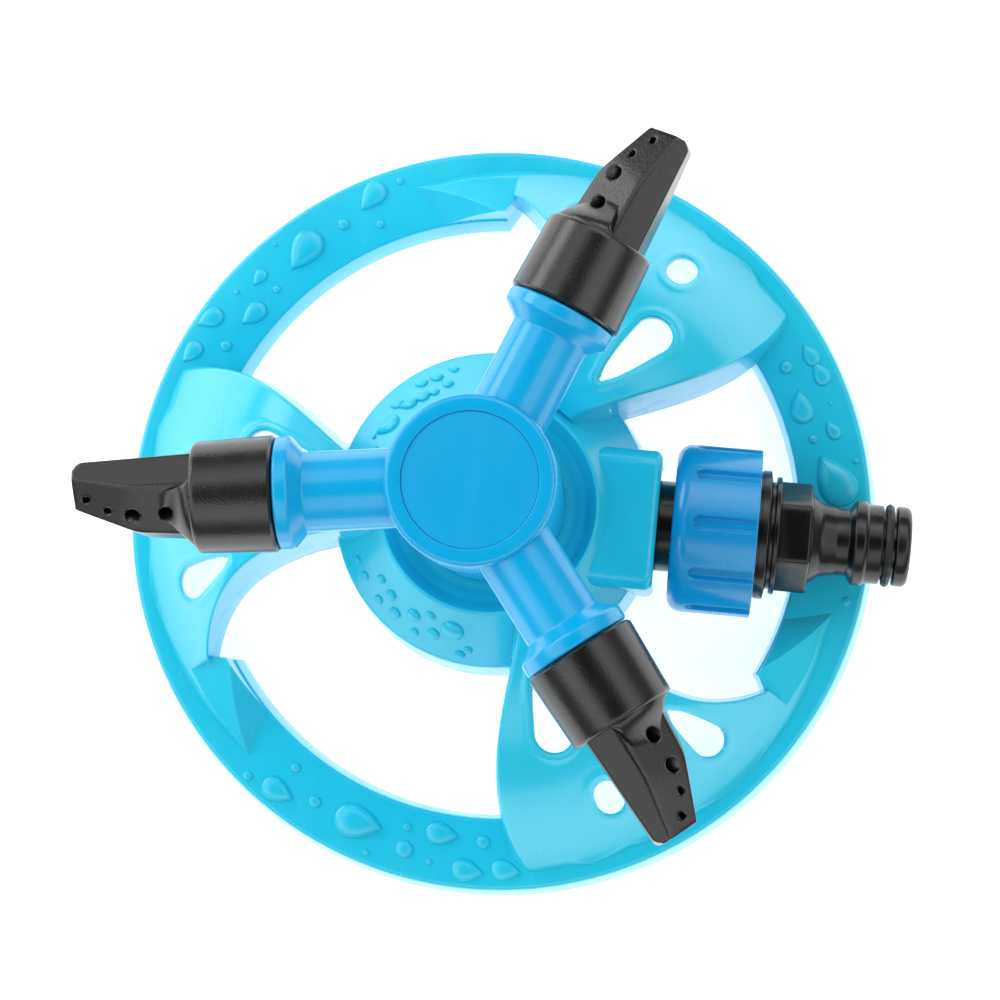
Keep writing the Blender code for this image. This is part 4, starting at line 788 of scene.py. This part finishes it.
def bill_radius(angle, way):
    """How far the bill reaches from the arm's axis at an angle from its top: the nearest of its
    faces, blended by a steep power mean, which rounds the edges a little."""
    side, rise = np.sin(angle), np.cos(angle)
    total = 0.0
    for normal, distance in BILL_FACES:
        facing = normal[0] * side + normal[1] * rise
        reach = (distance - normal[2] * way) / np.maximum(facing, 1e-3)
        total = total + np.where(facing > 1e-3, np.maximum(reach, 0.05) ** -FACE_POWER, 0.0)
    return total ** (-1.0 / FACE_POWER)


angle = np.linspace(0.0, 2.0 * math.pi, AROUND, endpoint=False)[None, :]
cap_way = np.linspace(CAP_START, CAP_FACE - CAP_EDGE, CAP_ROWS)[:, None]
cap_radius = CAP_R + (CAP_END_R - CAP_R) * (cap_way - CAP_START) / (CAP_FACE - CAP_START)
lip = np.clip(1.0 - (cap_way - CAP_START) / 0.5, 0.0, 1.0)
cap_part = (cap_radius - 0.5 * (1.0 - np.sqrt(1.0 - lip ** 2)) + 0.0 * angle, cap_way + 0.0 * angle)

# The cap's end: a rounded edge, then a flat face, which on the jets' side leans out as a ramp.
clock = (angle + math.pi) % (2.0 * math.pi) - math.pi
ramp = (RAMP * np.clip((clock + RAMP_START) / RAMP_RISE_TURN, 0.0, 1.0)
        * np.clip((RAMP_STOP - clock) / RAMP_FALL_TURN, 0.0, 1.0))
edge_turn = np.linspace(0.1, 1.0, 8)[:, None] * math.pi / 2.0
edge_part = (CAP_END_R - CAP_EDGE * (1.0 - np.cos(edge_turn)) + 0.0 * angle,
             CAP_FACE - CAP_EDGE * (1.0 - np.sin(edge_turn)) + 0.0 * angle)
fall = np.linspace(0.0, 1.0, FACE_ROWS)[1:, None]
face_way = CAP_FACE + fall * ramp
foot = bill_radius(angle, CAP_FACE + ramp)
blend = np.where(ramp > 0.0, fall * fall * (3.0 - 2.0 * fall), fall)
face_r = (CAP_END_R - CAP_EDGE) * (1.0 - blend) + foot * blend
face_part = (np.maximum(face_r, np.minimum(foot, CAP_END_R - CAP_EDGE)), face_way + 0.0 * angle)
bill_start = CAP_FACE + ramp
bill_share = np.linspace(0.0, 1.0, BILL_ROWS)[1:, None]
bill_way = bill_start + (BILL_END - TIP_ROUND - bill_start) * bill_share
bill_part = (bill_radius(angle, bill_way), bill_way)

# The tip is rounded over and closed at its middle; the bore runs back inside to the cap's start.
tip_turn = np.linspace(0.2, 1.0, 6)[:, None] * math.pi / 2.0
tip_full = bill_radius(angle, np.full((1, 1), BILL_END - TIP_ROUND / 2.0))
tip_part = (tip_full - TIP_ROUND * (1.0 - np.cos(tip_turn)),
            BILL_END - TIP_ROUND * (1.0 - np.sin(tip_turn)) + 0.0 * angle)
face_end = np.linspace(1.0, 0.0, 8)[1:, None]
end_part = ((tip_full - TIP_ROUND) * face_end, BILL_END + 0.0 * face_end + 0.0 * angle)
CAP_BORE, BORE_END = 7.3, 46.0
bore_outline = np.array([(0.0, BORE_END), (CAP_BORE, BORE_END), (CAP_BORE, CAP_START + 0.4),
                         (CAP_BORE + 0.4, CAP_START)])
bore_part = (bore_outline[:, 0][:, None] + 0.0 * angle, bore_outline[:, 1][:, None] + 0.0 * angle)

nozzle_parts = (cap_part, edge_part, face_part, bill_part, tip_part, end_part)
nozzle_radius = np.concatenate([part[0] for part in nozzle_parts])
nozzle_way = np.concatenate([part[1] for part in nozzle_parts])
nozzle_side, nozzle_rise = nozzle_radius * np.sin(angle), nozzle_radius * np.cos(angle)

# Jets: points within a jet's circle sink along the radius, with a small bevel round the mouth.
above = nozzle_rise > -1.0
for jet_way, jet_side, jet_radius in JETS:
    away = np.hypot(nozzle_way - jet_way, (nozzle_side - jet_side) / math.cos(JET_LEAN))
    bevel = MOUTH_DEPTH * np.clip((jet_radius + MOUTH_WIDTH - away) / MOUTH_WIDTH, 0.0, 1.0)
    depth = JET_DEPTH * np.clip((jet_radius - away) / JET_WALL, 0.0, 1.0) + bevel
    nozzle_radius = np.where(above & (nozzle_way > CAP_FACE), nozzle_radius - depth, nozzle_radius)
nozzle_radius = np.concatenate([bore_part[0], nozzle_radius])
nozzle_way = np.concatenate([bore_part[1], nozzle_way])
nozzle_quads = grid_quads(nozzle_radius.shape[0], AROUND, False, True)
for number in range(ARMS):
    places = along_arm(number, nozzle_radius * np.sin(angle), nozzle_radius * np.cos(angle), nozzle_way)
    nozzle = make_mesh(f"nozzle_shell_{number + 1}", places, nozzle_quads, nozzle_black, 26.0)
    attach(nozzle, f"nozzle_{number + 1}")
    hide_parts(f"nozzle_{number + 1}")


# ---------------------------------------------------------------- inlet: tail and swivel nut
# A black stub tail leaves the boss, and a blue nut with ten grip grooves swivels on it. Each
# groove has a round closed end at the shoulder and runs out through the nut's open end.
nut_blue = moulded("nut_blue", linear(2, 152, 214), linear(5, 158, 220), 0.22, (1500.0, 0.006), 0.10,
                   coat=0.25, glow=0.04)
plug_black = moulded("plug_black", linear(9, 9, 10), linear(13, 13, 14), 0.22, (1200.0, 0.010), 0.16,
                     coat=0.06)


def along_inlet(radius, around_angle, way):
    """Points at a radius and an angle round the inlet's axis, way outward from the rotor's axis."""
    side, rise = radius * np.sin(around_angle), radius * np.cos(around_angle)
    return np.stack(np.broadcast_arrays(way, side, INLET_Z + rise), axis=-1).astype(float)


def turn_on_inlet(name, corners, material, replaced, body, steps=160):
    """A closed outline of (radius, way, fillet) turned about the inlet's axis."""
    outline = rounded(corners)
    turned_by = np.linspace(0.0, 2.0 * math.pi, steps, endpoint=False)[:, None]
    points = along_inlet(outline[:, 0][None, :], turned_by, outline[:, 1][None, :])
    piece = make_mesh(name, points, grid_quads(steps, len(outline), True, True), material)
    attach(piece, body)
    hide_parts(replaced)


NUT_R, NUT_START, NUT_END = 17.25, 36.9, 54.1
TAIL_R, TAIL_BORE, THREAD_R = 9.3, 5.5, 13.0
TAIL_FOOT, TAIL_SEAL_AT = 25.4, 29.4
FLANGE_AT = 40.2
turn_on_inlet("inlet_tail_stub", [
    (TAIL_R, TAIL_FOOT, 0.3), (TAIL_R, TAIL_SEAL_AT - 1.1, 0.0), (TAIL_R - 1.9, TAIL_SEAL_AT - 1.1, 0.0),
    (TAIL_R - 1.9, TAIL_SEAL_AT + 1.1, 0.0), (TAIL_R, TAIL_SEAL_AT + 1.1, 0.0), (TAIL_R, FLANGE_AT, 0.5),
    (THREAD_R - 0.1, FLANGE_AT, 0.3), (THREAD_R - 0.1, FLANGE_AT + 2.5, 0.3),
    (TAIL_BORE, FLANGE_AT + 2.5, 0.3), (TAIL_BORE, TAIL_FOOT, 0.3)],
    plug_black, "inlet_tail", "base")

GROOVES, GROOVE_HALF, GROOVE_DEPTH, GROOVE_START = 10, 1.25, 1.25, NUT_START + 4.2
NUT_STEPS, NUT_ROWS = 900, 60
NUT_BORE = THREAD_R + 0.5
nut_way = np.linspace(NUT_START + 3.2, NUT_END - 0.5, NUT_ROWS)
nut_outline = np.concatenate([
    rounded([(TAIL_R + 0.5, NUT_START, 0.3), (NUT_R, NUT_START, 3.0),
             (NUT_R, NUT_START + 6.2, 0.0)], False, 10)[:-1],
    np.stack([np.full(NUT_ROWS, NUT_R), nut_way], axis=1),
    rounded([(NUT_R, NUT_END - 0.5, 0.0), (NUT_R, NUT_END, 0.45), (NUT_BORE, NUT_END, 0.3),
             (NUT_BORE, NUT_START + 3.0, 0.0), (TAIL_R + 0.5, NUT_START + 3.0, 0.0)], False)[1:]])
nut_turn = np.linspace(0.0, 2.0 * math.pi, NUT_STEPS, endpoint=False)[:, None]
pitch = 2.0 * math.pi / GROOVES
arc = ((nut_turn + pitch / 2.0) % pitch - pitch / 2.0) * NUT_R
outer = (nut_outline[:, 0] > NUT_BORE + 1.0)[None, :]
before_end = np.maximum(GROOVE_START + GROOVE_HALF - nut_outline[:, 1][None, :], 0.0)
from_middle = np.hypot(arc, before_end) - GROOVE_HALF
groove = np.clip(0.5 - from_middle / 0.5, 0.0, 1.0)
groove = GROOVE_DEPTH * groove * groove * (3.0 - 2.0 * groove)
nut_radius = nut_outline[:, 0][None, :] - np.where(outer, groove, 0.0)
nut_points = along_inlet(nut_radius, nut_turn, nut_outline[:, 1][None, :])
nut = make_mesh("grip_nut", nut_points,
                grid_quads(NUT_STEPS, len(nut_outline), True, True), nut_blue, 40.0)
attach(nut, "nut")
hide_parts("swivel_nut")


# ---------------------------------------------------------------- hose plug
# The plug is turned-looking black nylon: thin flanges at the nut, a hexagon, a waisted neck, the
# round locking bead, a barrel and a tip that holds the sealing ring in its groove.
PLUG_END, PLUG_BORE = 85.3, 4.6
HEX_HALF, HEX_START, HEX_END = 10.0, 58.4, 65.0
HEX_CORE_R, HEX_PROFILE_R = 7.0, 11.5
HEX_CORNER, HEX_POWER = 1.135, 40.0      # corners are cut at this share of the half width
NECK_R, LOCK_R, BARREL_END_R, TIP_R, GROOVE_R = 6.9, 8.65, 8.1, 8.2, 6.6
SEAL_AT = PLUG_END - 4.4
turn_on_inlet("plug_body", [
    # thread and the two thin flanges
    (PLUG_BORE, 46.7, 0.3), (THREAD_R, 46.7, 0.3), (THREAD_R, 54.7, 0.0), (THREAD_R + 0.2, 54.7, 0.2),
    (THREAD_R + 0.2, 56.3, 0.3), (11.0, 56.7, 0.1), (11.0, 57.4, 0.1), (12.1, 57.5, 0.2), (12.1, 58.5, 0.3),
    # core of the hexagon, shoulder and neck
    (9.2, 58.6, 0.2), (9.2, 65.2, 0.6), (7.6, 67.2, 2.2), (NECK_R, 70.4, 2.0), (NECK_R, 72.9, 0.5),
    # locking bead and barrel
    (LOCK_R, 73.9, 0.8), (LOCK_R, 76.0, 0.8), (BARREL_END_R, 76.6, 0.3), (BARREL_END_R, SEAL_AT - 1.3, 0.35),
    # the ring's groove and the tip
    (GROOVE_R, SEAL_AT - 1.3, 0.1), (GROOVE_R, SEAL_AT + 1.3, 0.1), (TIP_R, SEAL_AT + 1.3, 0.5),
    (TIP_R, PLUG_END, 1.3), (PLUG_BORE, PLUG_END, 0.4)], plug_black, "quick_plug", "plug", 180)

hex_way = rounded([(HEX_CORE_R, HEX_START, 0.0), (HEX_PROFILE_R, HEX_START, 0.3),
                   (HEX_PROFILE_R, HEX_END, 0.6), (HEX_CORE_R, HEX_END + 0.4, 0.0)], False)
hex_turn = np.linspace(0.0, 2.0 * math.pi, 360, endpoint=False)[:, None]
nearest_flat = (hex_turn + math.pi / 6.0) % (math.pi / 3.0) - math.pi / 6.0
flat_radius = HEX_HALF / np.cos(nearest_flat)
corner_radius = HEX_HALF * HEX_CORNER
flat_radius = (flat_radius ** -HEX_POWER + corner_radius ** -HEX_POWER) ** (-1.0 / HEX_POWER)
inset = HEX_PROFILE_R - hex_way[:, 0][None, :]
hex_radius = np.maximum(flat_radius - inset, HEX_CORE_R)
hexagon = make_mesh("plug_hexagon", along_inlet(hex_radius, hex_turn, hex_way[:, 1][None, :]),
                    grid_quads(360, len(hex_way), True, True), plug_black, 28.0)
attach(hexagon, "plug")


# ---------------------------------------------------------------- rings, bearings and duct
# The pieces inside keep their shapes and get their own finishes: rubber rings and washers, white
# acetal bearing parts, a brass locknut, steel screws and strainer, and the black duct.
rubber = moulded("ring_rubber", linear(22, 22, 23), linear(30, 30, 31), 0.45, (2600.0, 0.012), 0.15)
acetal = moulded("white_acetal", linear(226, 227, 224), linear(236, 237, 234), 0.32, (1800.0, 0.005), 0.1,
                 glow=0.1)
brass = moulded("turned_brass", linear(196, 158, 84), linear(214, 178, 104), 0.24, (4200.0, 0.006), 0.15,
                metal=1.0)
steel = moulded("bright_steel", linear(170, 172, 176), linear(190, 192, 196), 0.26, (4200.0, 0.006), 0.15,
                metal=1.0)
duct_black = moulded("duct_black", linear(26, 26, 28), linear(36, 36, 38), 0.38, (1900.0, 0.020), 0.12)
FINISHES = {
    rubber: ("tail_seal", "hose_washer", "spindle_seal", "plug_ring",
             "nozzle_seal_1", "nozzle_seal_2", "nozzle_seal_3"),
    acetal: ("lower_thrust_washer", "upper_thrust_washer", "bearing_bush", "spindle"),
    brass: ("spindle_locknut",),
    steel: ("duct_screw_1", "duct_screw_2", "duct_screw_3", "filter_screen"),
    duct_black: ("water_duct",)}
for finish, names in FINISHES.items():
    for name in names:
        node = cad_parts[name]
        node.data.materials.clear()
        node.data.materials.append(finish)
